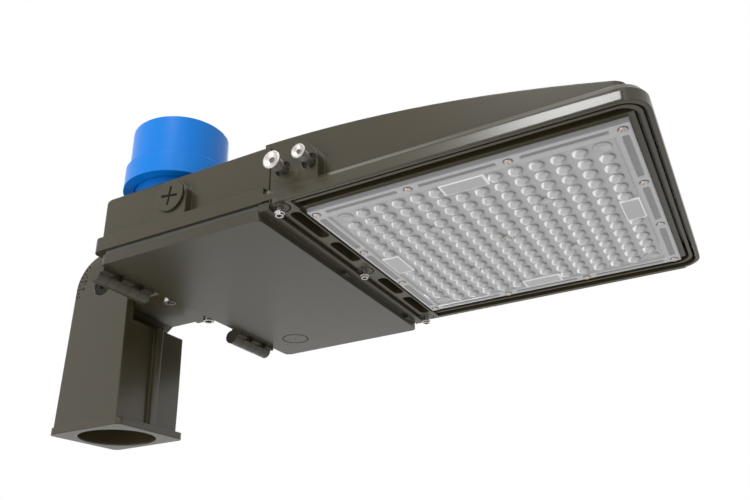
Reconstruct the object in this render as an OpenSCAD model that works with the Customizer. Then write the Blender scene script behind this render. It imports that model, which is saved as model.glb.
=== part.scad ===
// Shoebox area light on a tilting slip fitter, for the top of a pole.
// The origin is the centre of the tenon bore at the foot of the slip fitter.
// X runs from the pole to the tip of the head, and Z runs up along the pole.
// The near side is the side of negative Y, where the marked cheek is.

/* [Pole fitting] */
// Outer diameter of the pole tenon
tenon_d = 60.3; // [56:0.1:64]
// Play of the tenon in its bore, across the diameter
tenon_play = 0.9; // [0.5:0.1:1.5]
// Depth of the tenon bore
tenon_depth = 78; // [70:1:86]
// Thinnest wall of the slip fitter beside the bore
fitter_wall = 2.4; // [2:0.1:4]
// Wall on the side of the tilt cheek
cheek_wall = 5.4; // [4.5:0.1:8]
// How far the foot flange reaches past the bore
flange_lip = 6.4; // [5.5:0.1:9]
// Thickness of the foot flange
flange_t = 5.5; // [4:0.1:8]
// Corner radius of the foot flange
flange_r = 5; // [2:0.5:8]
// Width of the rib on the front wall
rib_w = 6; // [4:0.5:10]
// Height of the rib over the front wall
rib_h = 3.5; // [2:0.1:3.9]
// Diameter of a tenon set screw
set_screw_d = 8; // [6:1:10]

/* [Tilt joint] */
// Radius of the cheek and of the barrel about the tilt pivot
knuckle_r = 30; // [27:0.5:33]
// Thickness of the tilt cheek
cheek_t = 8; // [7:0.5:11]
// Length of the arm's barrel along the pivot
barrel_l = 57; // [50:1:60]
// Diameter of the pivot bolt
pivot_d = 12; // [10:0.5:14]
// Thickness of the toothed ring between cheek and barrel
tilt_ring_t = 1; // [0.6:0.1:2]
// Distance from the pivot to the joint of arm and housing
arm_l = 46; // [44:1:54]
// Distance from the joint of arm and housing to the driver box
neck_l = 31; // [28:0.5:38]
// How far the underside of the arm lies below the pivot
arm_drop = 21; // [19:0.5:23]
// Width of the housing's neck
neck_w = 68; // [66:1:76]

/* [Driver box] */
// Length of the driver box
box_l = 143; // [138:1:158]
// Height of the driver box over its joint face
box_h = 44; // [42:0.1:47]
// Wall thickness of the casting
wall = 3.5; // [3:0.1:4]
// How far the walls of the box stand in from its flange band
wall_in = 6.1; // [5:0.1:7]
// Height of the flange band along the joint face
band_h = 10.4; // [8:0.1:13]
// How far the rim of the head lies below the pivot
rim_drop = 26; // [25:0.5:28]
// How far the joint face of the box lies above the rim
joint_rise = 3.6; // [3:0.1:4.5]

/* [Head] */
// Width of the head across its rim
head_w = 238; // [232:0.5:246]
// Distance from the driver box to the lens plate
strip_l = 21.1; // [20:0.1:26]
// Distance from the lens plate to the tip of the head
tip_gap = 12.4; // [11:0.1:14]
// Distance from the lens plate to each side of the head
side_gap = 19.75; // [19:0.05:22]
// Height of the head where it meets the box
head_h = 51.4; // [48:0.1:55]
// Height of the head at its tip
tip_h = 14.6; // [13:0.1:16]
// Height of the arch of the top over its chord
crown_sag = 7.75; // [6:0.05:10]
// Radius of the two tip corners in plan
tip_r = 16; // [13:0.5:18]
// How far the upper walls of the head stand in from its rim
rim_in = 8.2; // [7:0.1:9]
// Height of the upright rim band
rim_band_h = 8; // [6.5:0.5:9.5]
// Height of the slope above the rim band
rim_slope_h = 4; // [3:0.1:5]
// Thickness of the rim wall
rim_t = 2.6; // [2.4:0.1:3]
// Depth of the drip channel inside the rim
channel_depth = 9.2; // [8:0.1:9.5]
// Thickness of a cooling fin
fin_t = 2.4; // [2:0.1:3]
// Distance from one cooling fin to the next
fin_pitch = 9.6; // [9:0.1:12]
// How far the fins stay below the edge of the side walls
fin_drop = 2; // [1:0.1:4]

/* [Lens and light board] */
// Lenses along each side of the square grid
lens_n = 14; // [14:2:14]
// Thickness of the lens plate
lens_t = 3; // [2.4:0.1:3.6]
// Radius of a lens dome at its foot
dome_r = 4.7; // [4.2:0.1:5]
// Height of a lens dome
dome_h = 3; // [2.2:0.1:3.6]
// Thickness of the light board
board_t = 1.6; // [1.2:0.1:2]
// Length of each side of one light source
led_w = 3; // [2.4:0.1:3.5]
// Diameter of a lens screw's head
lens_screw_d = 5.4; // [5:0.1:6]

/* [Door] */
// How far the door's face lies below the rim of the head
door_drop = 7.8; // [7:0.1:9]
// Thickness of the door's plate
door_t = 3; // [2.4:0.1:3.4]
// Radius of the hinge barrels
barrel_r = 5.7; // [5.2:0.1:6.2]
// Diameter of the hinge pins
pin_d = 4; // [3.5:0.1:4.5]
// Diameter of the door screws
door_screw_d = 4.2; // [3.8:0.1:4.6]
// Radius of the ears that the door screws go through
ear_r = 6.2; // [5.8:0.1:6.6]
// Radius of the sensor port in the door
port_r = 11; // [9:0.5:13]

/* [Photocell] */
// Radius of the cap's skirt
cap_r = 38.9; // [37:0.1:40]
// Height of the cap
cap_h = 48.8; // [44:0.1:54]
// Radius of the receptacle
socket_r = 30.5; // [28:0.1:32]
// Height of the receptacle over the roof
socket_h = 10.4; // [9:0.1:14]

/* [Side fittings] */
// Radius of the side plug's head
plug_r = 11.4; // [10.5:0.1:12]
// Diameter of the side bolts' shank
side_bolt_d = 5.4; // [5:0.1:6]
// How far the side bolts stand out of their boss
side_bolt_out = 13.5; // [12:0.5:16]

/* [Hidden] */
$fn = 64;

// Shared clearances
over = 1;
run_gap = 0.05;
free_gap = 0.3;
loose_gap = 0.8;
crown_fn = 720;

// Slip fitter
bore_r = (tenon_d + tenon_play) / 2;
flange_half = bore_r + flange_lip;
fitter_x = bore_r + fitter_wall;
cheek_y = bore_r + cheek_wall;
fitter_edge_r = 3;
fitter_roof = 9.4;
knuckle_gap = 3.6;
fitter_top = tenon_depth + fitter_roof;
pivot_h = fitter_top + knuckle_gap + knuckle_r;
wire_hole_r = 10;
boss_r = 8;
boss_out = 5.5;
set_screw_head_h = 6;
set_screw_head_share = 0.9;
set_screw_shares = [0.32, 0.74];

// Tilt joint
bolt_head_r = pivot_d * 0.725;
bolt_head_h = 4.5;
bolt_cover = 0.5;
bolt_sink = bolt_head_h + bolt_cover;
bolt_key_r = pivot_d * 0.3;
nut_r = pivot_d * 0.915;
nut_h = 7;
nut_cover = 1.5;
nut_sink = nut_h + nut_cover;
ring_in = 6;
ring_out_r = knuckle_r - ring_in;
tooth_n = 36;
tooth_w = 1;
tooth_h = tilt_ring_t / 2;
tooth_share = 0.62;
tooth_l = ring_out_r * 0.36;
cheek_in = cheek_y - cheek_t;
barrel_y0 = -cheek_in + tilt_ring_t;
barrel_y1 = barrel_y0 + barrel_l;
barrel_play = 0.5;
barrel_out_r = knuckle_r - barrel_play;
duct_w = 7.6;
duct_h = 7.6;

// Places along X
joint_x = arm_l;
box_x0 = arm_l + neck_l;
head_x0 = box_x0 + box_l;
lens_w = head_w - 2 * side_gap;
head_l = strip_l + lens_w + tip_gap;
tip_x = head_x0 + head_l;

// Heights
arm_z = pivot_h - arm_drop;
rim_z = pivot_h - rim_drop;
joint_z = rim_z + joint_rise;
roof_z = joint_z + box_h;
ceiling_z = roof_z - wall;
door_z = rim_z - door_drop;

// Neck and arm
neck_floor_t = 4;
neck_top_z = roof_z;
tongue_in = 12;
tongue_half = neck_w / 2 - neck_floor_t;
tongue_z0 = arm_z + neck_floor_t;
tongue_z1 = neck_top_z - neck_floor_t;
duct_floor_t = 1.5;
duct_z = tongue_z0 + duct_floor_t;
arm_screw_d = 6;
arm_screw_head_r = arm_screw_d * 0.8;
arm_screw_key_r = arm_screw_d * 0.5;
arm_screw_x = joint_x + neck_l * 0.625;
arm_screw_y = tongue_half * 0.83;
arm_screw_head_h = 5;
arm_screw_key_h = arm_screw_head_h * 0.67;
arm_screw_in = 10;
arm_screw_room = 2;

// Driver box
band_step = 0.5;
box_half = head_w / 2 - band_step;
wall_half = box_half - wall_in;
bay_half = wall_half - wall;
band_out = 0.8;
band_r = 5.8;
box_edge_r = 2.5;
box_top_r = 6;
bay_wall = 8;
bay_x0 = box_x0 + wall;
bay_x1 = head_x0 - bay_wall;
bay_l = bay_x1 - bay_x0;
bay_w = 2 * bay_half;
flange_in_t = 4;
ledge_l = 6;
ledge_x1 = head_x0 + ledge_l;

// Lens plate, its plateau and the drip channel
edge_pitches = 1.88;
lens_pitch = lens_w / (lens_n + edge_pitches);
lens_x = tip_x - tip_gap - lens_w / 2;
plateau_start = 1.5;
plateau_end = 3.6;
plateau_side = 3.75;
plateau_x0 = lens_x - lens_w / 2 - plateau_start;
plateau_x1 = lens_x + lens_w / 2 + plateau_end;
plateau_y = lens_w / 2 + plateau_side;
channel_x0 = plateau_x0;
channel_z = rim_z + channel_depth;
mid_rib_t = 2.3;
mid_rib_end = 5.6;
mid_rib_side = 7.5;
mid_rib_in = 5;
mid_rib_drop = 1.5;
mid_rib_x = tip_x - mid_rib_end;
mid_rib_y = head_w / 2 - mid_rib_side;
mid_rib_r = tip_r - mid_rib_in;
mid_rib_z = rim_z + mid_rib_drop;
lens_rise = 0.5;
lens_z0 = rim_z - lens_rise;
lens_z1 = lens_z0 + lens_t;
lens_r = 3;
deck_t = 3;
deck_z = channel_z + deck_t;
grid_half = (lens_n - 1) / 2 * lens_pitch;
board_half = grid_half + lens_pitch * 0.54;
board_gap = 1;
led_h = 0.7;
led_gap = 1.2;
led_z = lens_z1 + led_gap;
board_z0 = led_z + led_h;
board_z1 = board_z0 + board_t;
seal_w = 2.2;
seal_gap = 1.1;
seal_mid = board_half + board_gap + seal_gap + seal_w / 2;
seal_deep = 1.5;
seal_r = 4;
lens_screw_edge = 4.4;
lens_screw_mid = lens_w / 2 - lens_screw_edge;
lens_screw_side = lens_w * 0.157;
lens_screw_h = 1.4;
lens_screw_l = 7;
lens_screw_r = 1.5;
lens_screw_rim = 0.6;
inner_screw_steps = 3;
inner_pad_r = lens_screw_d / 2 + lens_screw_rim;
pad_r = 5;
pad_h = 0.8;
label_l = 30;
label_w = 11;
label_h = 1.4;
recess_deep = 0.9;
recess_w = 3.6;
recess_r = recess_w * 0.49;
recess_gap = 14;
recess_l = 2 * lens_screw_side - recess_gap;
recess_end_l = lens_screw_mid - lens_screw_side - recess_gap;

// Crown of the head, an arc over a sloping chord
crown_chord = sqrt(pow(head_l, 2) + pow(head_h - tip_h, 2));
crown_r = pow(crown_chord, 2) / (8 * crown_sag) + crown_sag / 2;
crown_up = [(head_h - tip_h) / crown_chord, head_l / crown_chord];
crown_mid = [(head_x0 + tip_x) / 2, rim_z + (head_h + tip_h) / 2];
crown_c = crown_mid - crown_up * (crown_r - crown_sag);
rim_slope_w = 2.6;
rim_top_z = rim_z + rim_band_h + rim_slope_h;
upper_in = 4;
upper_x0 = head_x0 - upper_in;
nose_x = tip_x - rim_in;
nose_r = 5.5;
nose_z = crown_z(nose_x - nose_r) - nose_r;
side_wall = 4;
well_x0 = head_x0 + side_wall;
fin_x1 = tip_x - tip_r;
fin_half = head_w / 2 - rim_in - side_wall;
fin_n = 2 * floor((fin_half - fin_t) / fin_pitch) + 1;

// Slots between box and head
slot_in = 13.5;
slot_x = head_x0 + slot_in;
slot_r = 3.9;
slot_shares = [[0.155, 0.445], [0.525, 0.865]];

// Door
door_gap = free_gap;
door_back = 7.5;
door_end = 2;
door_in = 0.5;
door_x0 = box_x0 + door_back;
door_x1 = head_x0 - door_end;
door_half = box_half - door_in;
door_lip_gap = 3.9;
door_top_z = joint_z - door_lip_gap;
door_corner_r = 5;
door_rim_t = 5.4;
lip_x1 = ledge_x1 - loose_gap;
lip_low = 2.5;
lip_gap = 0.6;
lip_z0 = rim_z - lip_low;
lip_z1 = joint_z - lip_gap;
lip_in = 0.5;
ear_in = 9.5;
ear_edge = 6.5;
ear_x = head_x0 + ear_in;
ear_y = head_w / 2 - ear_edge;
gasket_in = 2.4;
gasket_w = 2.2;
gasket_end_in = 1;
door_end_t = gasket_end_in + gasket_w;
mouth_edge = 0.6;
mouth_x0 = door_x0 + gasket_in + gasket_w + mouth_edge;
hinge_in = 1.5;
hinge_drop = 3.7;
hinge_x = box_x0 + hinge_in;
hinge_z = door_z - hinge_drop;
hinge_edge = 2;
hinge_starts = [-door_half + hinge_edge, door_half * 0.34];
hinge_l = 50;
pin_in = 2;
hook_t = 4.5;
hook_gap = free_gap;
knuckle_shares = [0.3, 0.7];
pin_r = pin_d / 2;
port_x = box_x0 + box_l * 0.2727;
port_y = door_half * 0.7;
port_line = 0.5;
port_deep = 1.6;
port_step = 2.5;
port_stem_r = port_r - port_step;
port_in = 1;
port_dot_r = 0.8;
port_dot_deep = 0.6;
catch_w = 7;
catch_ys = [-door_half * 0.08, door_half * 0.82];

// Door screws
screw_shank_r = door_screw_d / 2;
screw_head_r = door_screw_d * 0.82;
screw_head_h = 3;
screw_key_h = screw_head_h * 0.67;
screw_out = 3;
screw_in = 6;
screw_play = 0.2;
screw_hole_r = screw_shank_r + loose_gap + screw_play;
screw_key_r = door_screw_d * 0.33;

// Parts in the driver bay, with their shares of its length and width
driver_w = bay_l * 0.47;
driver_l = bay_w * 0.715;
driver_h = 32;
driver_x = bay_x1 - bay_l * 0.045 - driver_w / 2;
driver_flange = 8;
driver_flange_t = 2;
driver_y = bay_half - driver_flange - over - driver_l / 2;
driver_edge_r = 2;
driver_screw_r = 2;
driver_head_r = driver_screw_r * 1.7;
surge_w = bay_l * 0.28;
surge_l = bay_w * 0.285;
surge_h = 26;
surge_x = bay_x0 + bay_l * 0.04 + surge_w / 2;
surge_y = bay_half * 0.93 - surge_l / 2;
surge_r = 3;
block_l = 42;
block_w = 20;
block_h = 17;
block_gap = 6;
block_x = box_x0 + tongue_in + block_gap + block_w / 2;
pole_n = 3;
pole_pitch = block_l / pole_n;
gland_y = -(slot_shares[0][1] + slot_shares[1][0]) * head_w / 4;
gland_r = 3;
gland_z = board_z1 + gland_r * 0.6;
gland_rim = 1.5;
gland_rim_t = 2;
gland_l = 12;
gland_open = 4;
connector_l = 12;
connector_w = 4;
connector_h = 1.1;
connector_in = 1;

// Photocell
cap_x = box_x0 + box_l * 0.26434;
cap_in = 38.1;
cap_y = -box_half + cap_in;
socket_seal_t = 1;
socket_seal_in = 1;
socket_neck_r = 17;
socket_neck_l = 24;
socket_nut_r = 24;
socket_nut_h = 5;
cap_seat = 3;
cap_z0 = roof_z + socket_seal_t + socket_h - cap_seat;
skirt_h = 17.3;
cap_upper_in = 2.7;
cap_upper_r = cap_r - cap_upper_in;
cap_step = 1.2;
cap_top_r = 1.5;
contact_r = 14;
contact_t = 1.6;
contact_h = 9;
contact_deg = 24;
contact_play_deg = 2;
twist_deg = 20;
contact_turns = [0, 120, 240];

// Side fittings, on bosses that stand flush with the bands
boss_face = box_half;
plug_x = box_x0 + box_l * 0.472;
plug_up = 25.8;
plug_z = joint_z + plug_up;
plug_boss_rim = 1.9;
plug_boss_r = plug_r + plug_boss_rim;
plug_head_t = 1.2;
plug_stem_in = 2.8;
plug_stem_r = plug_r - plug_stem_in;
plug_stem_l = 9;
plug_seal_t = 0.5;
plug_seal_in = 0.6;
plus_l = plug_r * 0.62;
plus_w = 2;
plus_turn = 8;
side_bolt_ins = [15.3, 34.7];
side_bolt_up = 23;
side_bolt_z = rim_z + side_bolt_up;
bolt_boss_in = 23.4;
bolt_boss_x = head_x0 + bolt_boss_in;
bolt_boss_r = 17.2;
side_bolt_collar_r = side_bolt_d * 0.7;
side_bolt_collar_l = 4.5;
side_bolt_head_r = side_bolt_d * 1.13;
side_bolt_head_h = 3.8;
side_bolt_disc_h = 1;
side_bolt_key_r = side_bolt_d * 0.42;
side_bolt_key_h = 2.4;
side_bolt_bore_r = side_bolt_head_r * 0.92;
side_bolt_bore_h = 3;
side_bolt_in = 10;

// Rectangle with round corners, centred on the origin
module round_rect(size_x, size_y, r) {
    square([size_x - 2 * r, size_y], center = true);
    square([size_x, size_y - 2 * r], center = true);
    for (sx = [-1, 1], sy = [-1, 1])
        translate([sx * (size_x / 2 - r), sy * (size_y / 2 - r)]) circle(r = r);
}

// Upright prism over a rectangle with round corners
module round_block(x0, x1, y0, y1, z0, z1, r) {
    translate([(x0 + x1) / 2, (y0 + y1) / 2, z0])
        linear_extrude(z1 - z0) round_rect(x1 - x0, y1 - y0, r);
}

// Plain block between two corners
module block(x0, x1, y0, y1, z0, z1) {
    translate([x0, y0, z0]) cube([x1 - x0, y1 - y0, z1 - z0]);
}

// Extrudes an outline drawn in X and Z along Y
module along_y(y0, y1) {
    translate([0, y1, 0]) rotate([90, 0, 0]) linear_extrude(y1 - y0) children();
}

// Extrudes an outline drawn in Y and Z along X
module along_x(x0, x1) {
    translate([x0, 0, 0]) rotate([90, 0, 90]) linear_extrude(x1 - x0) children();
}

// Cylinder along Y between two places
module rod_y(x, z, y0, y1, r) {
    translate([x, y1, z]) rotate([90, 0, 0]) cylinder(h = y1 - y0, r = r);
}

// Cylinder along X between two places
module rod_x(x0, x1, y, z, r) {
    translate([x0, y, z]) rotate([0, 90, 0]) cylinder(h = x1 - x0, r = r);
}

// Upright cylinder between two heights
module rod_z(x, y, z0, z1, r) {
    translate([x, y, z0]) cylinder(h = z1 - z0, r = r);
}

// Hexagonal key socket or nut, upright, by its corner radius
module hex_z(x, y, z0, z1, r) {
    translate([x, y, z0]) cylinder(h = z1 - z0, r = r, $fn = 6);
}

// Outline of the tilt cheek in X and Z, with a round top about the pivot
module cheek_outline() {
    translate([0, pivot_h]) circle(r = knuckle_r);
    polygon([
        [-fitter_x, flange_t], [fitter_x, flange_t],
        [knuckle_r, pivot_h], [-knuckle_r, pivot_h]
    ]);
}

// Slip fitter, a socket for the tenon with one tilt cheek
module slip_fitter() {
    color([0.32, 0.30, 0.26])
    difference() {
        union() {
            round_block(-flange_half, flange_half, -flange_half, flange_half, 0, flange_t, flange_r);
            intersection() {
                along_y(-cheek_y, fitter_x) cheek_outline();
                union() {
                    round_block(-fitter_x, fitter_x, -cheek_y, fitter_x, 0, fitter_top, fitter_edge_r);
                    block(-fitter_x, fitter_x, -cheek_y, -cheek_in, 0, pivot_h + knuckle_r);
                }
            }
            block(0, fitter_x + rib_h, -rib_w / 2, rib_w / 2, flange_t / 2, fitter_top);
            for (share = set_screw_shares)
                rod_x(-fitter_x - boss_out, 0, 0, tenon_depth * share, boss_r);
        }
        rod_z(0, 0, -over, tenon_depth, bore_r);
        rod_z(0, 0, 0, fitter_top + over, wire_hole_r);
        for (share = set_screw_shares)
            rod_x(-fitter_x - boss_out - over, 0, 0, tenon_depth * share, set_screw_d / 2 + run_gap);
        rod_y(0, pivot_h, -cheek_y - over, -cheek_in + over, pivot_d / 2 + run_gap);
        rod_y(0, pivot_h, -cheek_y - over, -cheek_y + bolt_sink, bolt_head_r + free_gap);
    }
}

// Set screws that grip the tenon from behind
module tenon_screws() {
    color([0.72, 0.71, 0.69])
    for (share = set_screw_shares)
        difference() {
            union() {
                rod_x(-fitter_x - boss_out, -bore_r - free_gap, 0, tenon_depth * share, set_screw_d / 2);
                translate([-fitter_x - boss_out - set_screw_head_h, 0, tenon_depth * share])
                    rotate([0, 90, 0])
                        cylinder(h = set_screw_head_h, r = set_screw_d * set_screw_head_share, $fn = 6);
            }
        }
}

// Pivot bolt, with its socket head sunk in the cheek
module pivot_bolt() {
    color([0.30, 0.29, 0.27])
    difference() {
        union() {
            rod_y(0, pivot_h, -cheek_y + bolt_sink - bolt_head_h, -cheek_y + bolt_sink, bolt_head_r);
            rod_y(0, pivot_h, -cheek_y + bolt_sink, barrel_y1 - over, pivot_d / 2);
        }
        translate([0, -cheek_y + bolt_sink - bolt_head_h / 2, pivot_h])
            rotate([90, 0, 0]) cylinder(h = bolt_head_h, r = bolt_key_r, $fn = 6);
    }
}

// Nut on the far end of the pivot bolt
module pivot_nut() {
    color([0.72, 0.71, 0.69])
    difference() {
        translate([0, barrel_y1 - nut_sink + nut_h, pivot_h])
            rotate([90, 0, 0]) cylinder(h = nut_h, r = nut_r, $fn = 6);
        rod_y(0, pivot_h, barrel_y0, barrel_y1 + over, pivot_d / 2 + run_gap);
    }
}

// Toothed ring that locks the tilt between cheek and barrel
module tilt_ring() {
    color([0.55, 0.54, 0.52])
    difference() {
        union() {
            rod_y(0, pivot_h, barrel_y0 - tilt_ring_t + tooth_h, barrel_y0, ring_out_r);
            for (k = [0 : tooth_n - 1])
                translate([0, barrel_y0 - tilt_ring_t, pivot_h]) rotate([0, k * 360 / tooth_n, 0])
                    translate([ring_out_r * tooth_share, 0, -tooth_w / 2])
                        cube([tooth_l, tilt_ring_t, tooth_w]);
        }
        rod_y(0, pivot_h, barrel_y0 - tilt_ring_t - over, barrel_y0 + over, pivot_d / 2 + free_gap);
    }
}

// Side outline of the arm in X and Z
module arm_outline() {
    translate([0, pivot_h]) circle(r = barrel_out_r);
    polygon([
        [0, arm_z], [joint_x, arm_z], [joint_x, neck_top_z], [0, pivot_h + barrel_out_r]
    ]);
}

// Tilting arm, a barrel about the pivot with a tongue in the housing's neck
module tilt_arm() {
    color([0.32, 0.30, 0.26])
    difference() {
        union() {
            along_y(barrel_y0, barrel_y1) arm_outline();
            block(joint_x - over, box_x0 + tongue_in, -tongue_half, tongue_half, tongue_z0, tongue_z1);
        }
        rod_y(0, pivot_h, barrel_y0 - over, barrel_y1 + over, pivot_d / 2 + run_gap);
        rod_y(0, pivot_h, barrel_y1 - nut_sink, barrel_y1 + over, nut_r + free_gap);
        block(-duct_w / 2, duct_w / 2, -duct_w / 2, duct_w / 2, 0, duct_z + duct_h);
        block(0, box_x0 + tongue_in + over, -duct_w / 2, duct_w / 2, duct_z, duct_z + duct_h);
        for (sy = [-1, 1])
            rod_z(arm_screw_x, sy * arm_screw_y, tongue_z0 - over, tongue_z0 + arm_screw_in + arm_screw_room,
                arm_screw_d / 2 + run_gap);
    }
}

// Screws that hold the tongue to the floor of the neck
module arm_screws() {
    z0 = arm_z - arm_screw_head_h;
    color([0.80, 0.78, 0.77])
    for (sy = [-1, 1])
        difference() {
            union() {
                rod_z(arm_screw_x, sy * arm_screw_y, z0, arm_z, arm_screw_head_r);
                rod_z(arm_screw_x, sy * arm_screw_y, arm_z, tongue_z0 + arm_screw_in, arm_screw_d / 2);
            }
            hex_z(arm_screw_x, sy * arm_screw_y, z0 - over, z0 + arm_screw_key_h, arm_screw_key_r);
        }
}

// Height of the crown's arc at a place along X
function crown_z(x) = crown_c[1] + sqrt(pow(crown_r, 2) - pow(x - crown_c[0], 2));

// Outline under the crown's arc in X and Z, lowered by drop
module crown_outline(x0, x1, z0, drop) {
    intersection() {
        translate([crown_c[0], crown_c[1] - drop]) circle(r = crown_r, $fn = crown_fn);
        translate([x0, z0]) square([x1 - x0, head_h + rim_z + over - z0]);
    }
}

// Outline of the upper head in X and Z, with a rounded nose at the tip
module upper_outline() {
    intersection() {
        crown_outline(upper_x0, nose_x, rim_z + over, 0);
        union() {
            translate([upper_x0 - over, rim_z])
                square([nose_x - nose_r - upper_x0 + over, head_h + 2 * over]);
            translate([upper_x0, rim_z]) square([nose_x - upper_x0, nose_z - rim_z]);
            translate([nose_x - nose_r, nose_z]) circle(r = nose_r);
        }
    }
}

// Plan of the head from x0 to the tip, grown by grow
module head_plan(x0, grow) {
    intersection() {
        translate([tip_x - head_l, 0]) round_rect(2 * head_l + 2 * grow, head_w + 2 * grow, tip_r + grow);
        translate([x0, -head_w]) square([head_l + head_w, 2 * head_w]);
    }
}

// One corner of the head's rim at the tip, upright below and sloped above
module rim_corner(sy) {
    translate([tip_x - tip_r, sy * (head_w / 2 - tip_r), rim_z]) {
        cylinder(h = rim_band_h, r = tip_r);
        translate([0, 0, rim_band_h]) cylinder(h = rim_slope_h, r1 = tip_r, r2 = tip_r - rim_slope_w);
    }
}

// Rim of the head, an upright band with a slope above it
module head_rim() {
    half = head_w / 2;
    corner_x = tip_x - tip_r;
    slope_z = rim_z + rim_band_h;
    along_x(head_x0, corner_x) polygon([
        [-half, rim_z], [half, rim_z], [half, slope_z],
        [half - rim_slope_w, rim_top_z], [-half + rim_slope_w, rim_top_z], [-half, slope_z]
    ]);
    along_y(-half + tip_r, half - tip_r) polygon([
        [corner_x - over, rim_z], [tip_x, rim_z], [tip_x, slope_z],
        [tip_x - rim_slope_w, rim_top_z], [corner_x - over, rim_top_z]
    ]);
    for (sy = [-1, 1])
        rim_corner(sy);
}

// Outer form of the head, with its upper walls inside the rim
module head_blank() {
    head_rim();
    intersection() {
        along_y(-head_w, head_w) upper_outline();
        translate([0, 0, rim_z + over / 2]) linear_extrude(head_h + over) head_plan(upper_x0, -rim_in);
    }
}

// Pocket in the top of the head that holds the fins
module fin_pocket() {
    translate([0, 0, deck_z]) linear_extrude(head_h)
        translate([(well_x0 + fin_x1) / 2, 0]) round_rect(fin_x1 - well_x0, 2 * fin_half, tip_r / 2);
}

// Cooling fins along X, each with an arched top below the crown
module fins() {
    for (k = [0 : fin_n - 1]) {
        y = (k - (fin_n - 1) / 2) * fin_pitch;
        along_y(y - fin_t / 2, y + fin_t / 2)
            crown_outline(well_x0 - over, fin_x1 + over, deck_z - over, fin_drop);
    }
}

// Side outline of the driver box in X and Z, with a round edge at the back of its roof
module box_outline() {
    x1 = head_x0 + over;
    translate([box_x0 + box_top_r, joint_z + over])
        square([x1 - box_x0 - box_top_r, roof_z - joint_z - over]);
    translate([box_x0, joint_z + over]) square([x1 - box_x0, roof_z - joint_z - over - box_top_r]);
    translate([box_x0 + box_top_r, roof_z - box_top_r]) circle(r = box_top_r);
}

// Outer form of the driver box, its flange band and the neck
module box_blank() {
    intersection() {
        along_y(-head_w, head_w) box_outline();
        round_block(box_x0, head_x0 + head_l, -wall_half, wall_half, joint_z, roof_z + over, box_edge_r);
    }
    intersection() {
        round_block(box_x0 - band_out, head_x0 + head_l, -box_half, box_half,
            joint_z, joint_z + band_h, band_r);
        block(box_x0 - box_l, head_x0 + over, -head_w, head_w, joint_z - over, roof_z);
    }
    block(joint_x, box_x0 + over, -neck_w / 2, neck_w / 2, arm_z, neck_top_z);
}

// Boss with a round top that stands flush with the band, on the near side
module side_boss(x, z, r) {
    rod_y(x, z, -boss_face, -bay_half - over, r);
    block(x - r, x + r, -boss_face, -bay_half - over, rim_z + rim_band_h, z);
}

// Drip channel round the lens plateau, with its middle rib left standing
module drip_channel() {
    difference() {
        intersection() {
            translate([0, 0, rim_z - over]) linear_extrude(channel_depth + over) head_plan(head_x0, -rim_t);
            block(channel_x0, tip_x, -head_w, head_w, rim_z - over, channel_z);
        }
        block(channel_x0 - over, plateau_x1, -plateau_y, plateau_y, rim_z - 2 * over, channel_z + over);
        difference() {
            round_block(channel_x0 - tip_r, mid_rib_x + mid_rib_t / 2, -mid_rib_y - mid_rib_t / 2,
                mid_rib_y + mid_rib_t / 2, mid_rib_z, channel_z + over, mid_rib_r);
            round_block(channel_x0 - tip_r - over, mid_rib_x - mid_rib_t / 2, -mid_rib_y + mid_rib_t / 2,
                mid_rib_y - mid_rib_t / 2, mid_rib_z - over, channel_z + 2 * over, mid_rib_r);
        }
    }
}

// Seat of the lens plate, pocket of the light board and groove of the seal
module lens_seat() {
    block(lens_x - board_half - board_gap, lens_x + board_half + board_gap,
        -board_half - board_gap, board_half + board_gap, lens_z1 - over, board_z1);
    block(plateau_x0 - over, plateau_x1 + over, -plateau_y - over, plateau_y + over,
        rim_z - 2 * over, lens_z1);
    difference() {
        seal_block(seal_w / 2, lens_z1 - over, lens_z1 + seal_deep);
        seal_block(-seal_w / 2, lens_z1 - 2 * over, lens_z1 + seal_deep + over);
    }
}

// Square block with round corners on the line of the lens seal
module seal_block(grow, z0, z1) {
    half = seal_mid + grow;
    round_block(lens_x - half, lens_x + half, -half, half, z0, z1, seal_r + grow);
}

// Places of the screws along the edge of the lens plate, from its centre
edge_screws = concat(
    [for (sx = [-1, 1], sy = [-1, 1]) [sx * lens_screw_mid, sy * lens_screw_mid]],
    [for (s = [-1, 1], t = [-1, 1]) [s * lens_screw_mid, t * lens_screw_side]],
    [for (s = [-1, 1], t = [-1, 1]) [t * lens_screw_side, s * lens_screw_mid]]
);
inner_step = inner_screw_steps * lens_pitch;
inner_screws = concat([[0, 0]], [for (sx = [-1, 1], sy = [-1, 1]) [sx * inner_step, sy * inner_step]]);

// Slots that part the hot driver box from the head
module vent_slots() {
    for (sy = [-1, 1], pair = slot_shares) {
        y0 = pair[0] * head_w / 2;
        y1 = pair[1] * head_w / 2;
        translate([slot_x, sy * (y0 + y1) / 2, rim_z - over])
            linear_extrude(head_h + 2 * over) round_rect(2 * slot_r, y1 - y0, slot_r * 0.98);
    }
}

// Bores of the side bolts, wide at the face of the boss
module side_bolt_bores() {
    for (sy = [-1, 1], inset = side_bolt_ins)
        mirror([0, sy > 0 ? 1 : 0, 0]) {
            rod_y(head_x0 + inset, side_bolt_z, -boss_face - over, -boss_face + side_bolt_in + over,
                side_bolt_d / 2 + run_gap);
            rod_y(head_x0 + inset, side_bolt_z, -boss_face - over, -boss_face + side_bolt_bore_h,
                side_bolt_bore_r);
        }
}

// Hollow of the driver box, with a narrower mouth at its joint face
module driver_bay() {
    block(mouth_x0, bay_x1, -bay_half, bay_half, joint_z - over, joint_z + flange_in_t + over);
    block(bay_x0, bay_x1, -bay_half, bay_half, joint_z + flange_in_t, ceiling_z);
    block(bay_x1 - over, ledge_x1, -head_w, head_w, rim_z - over, joint_z);
}

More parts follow.
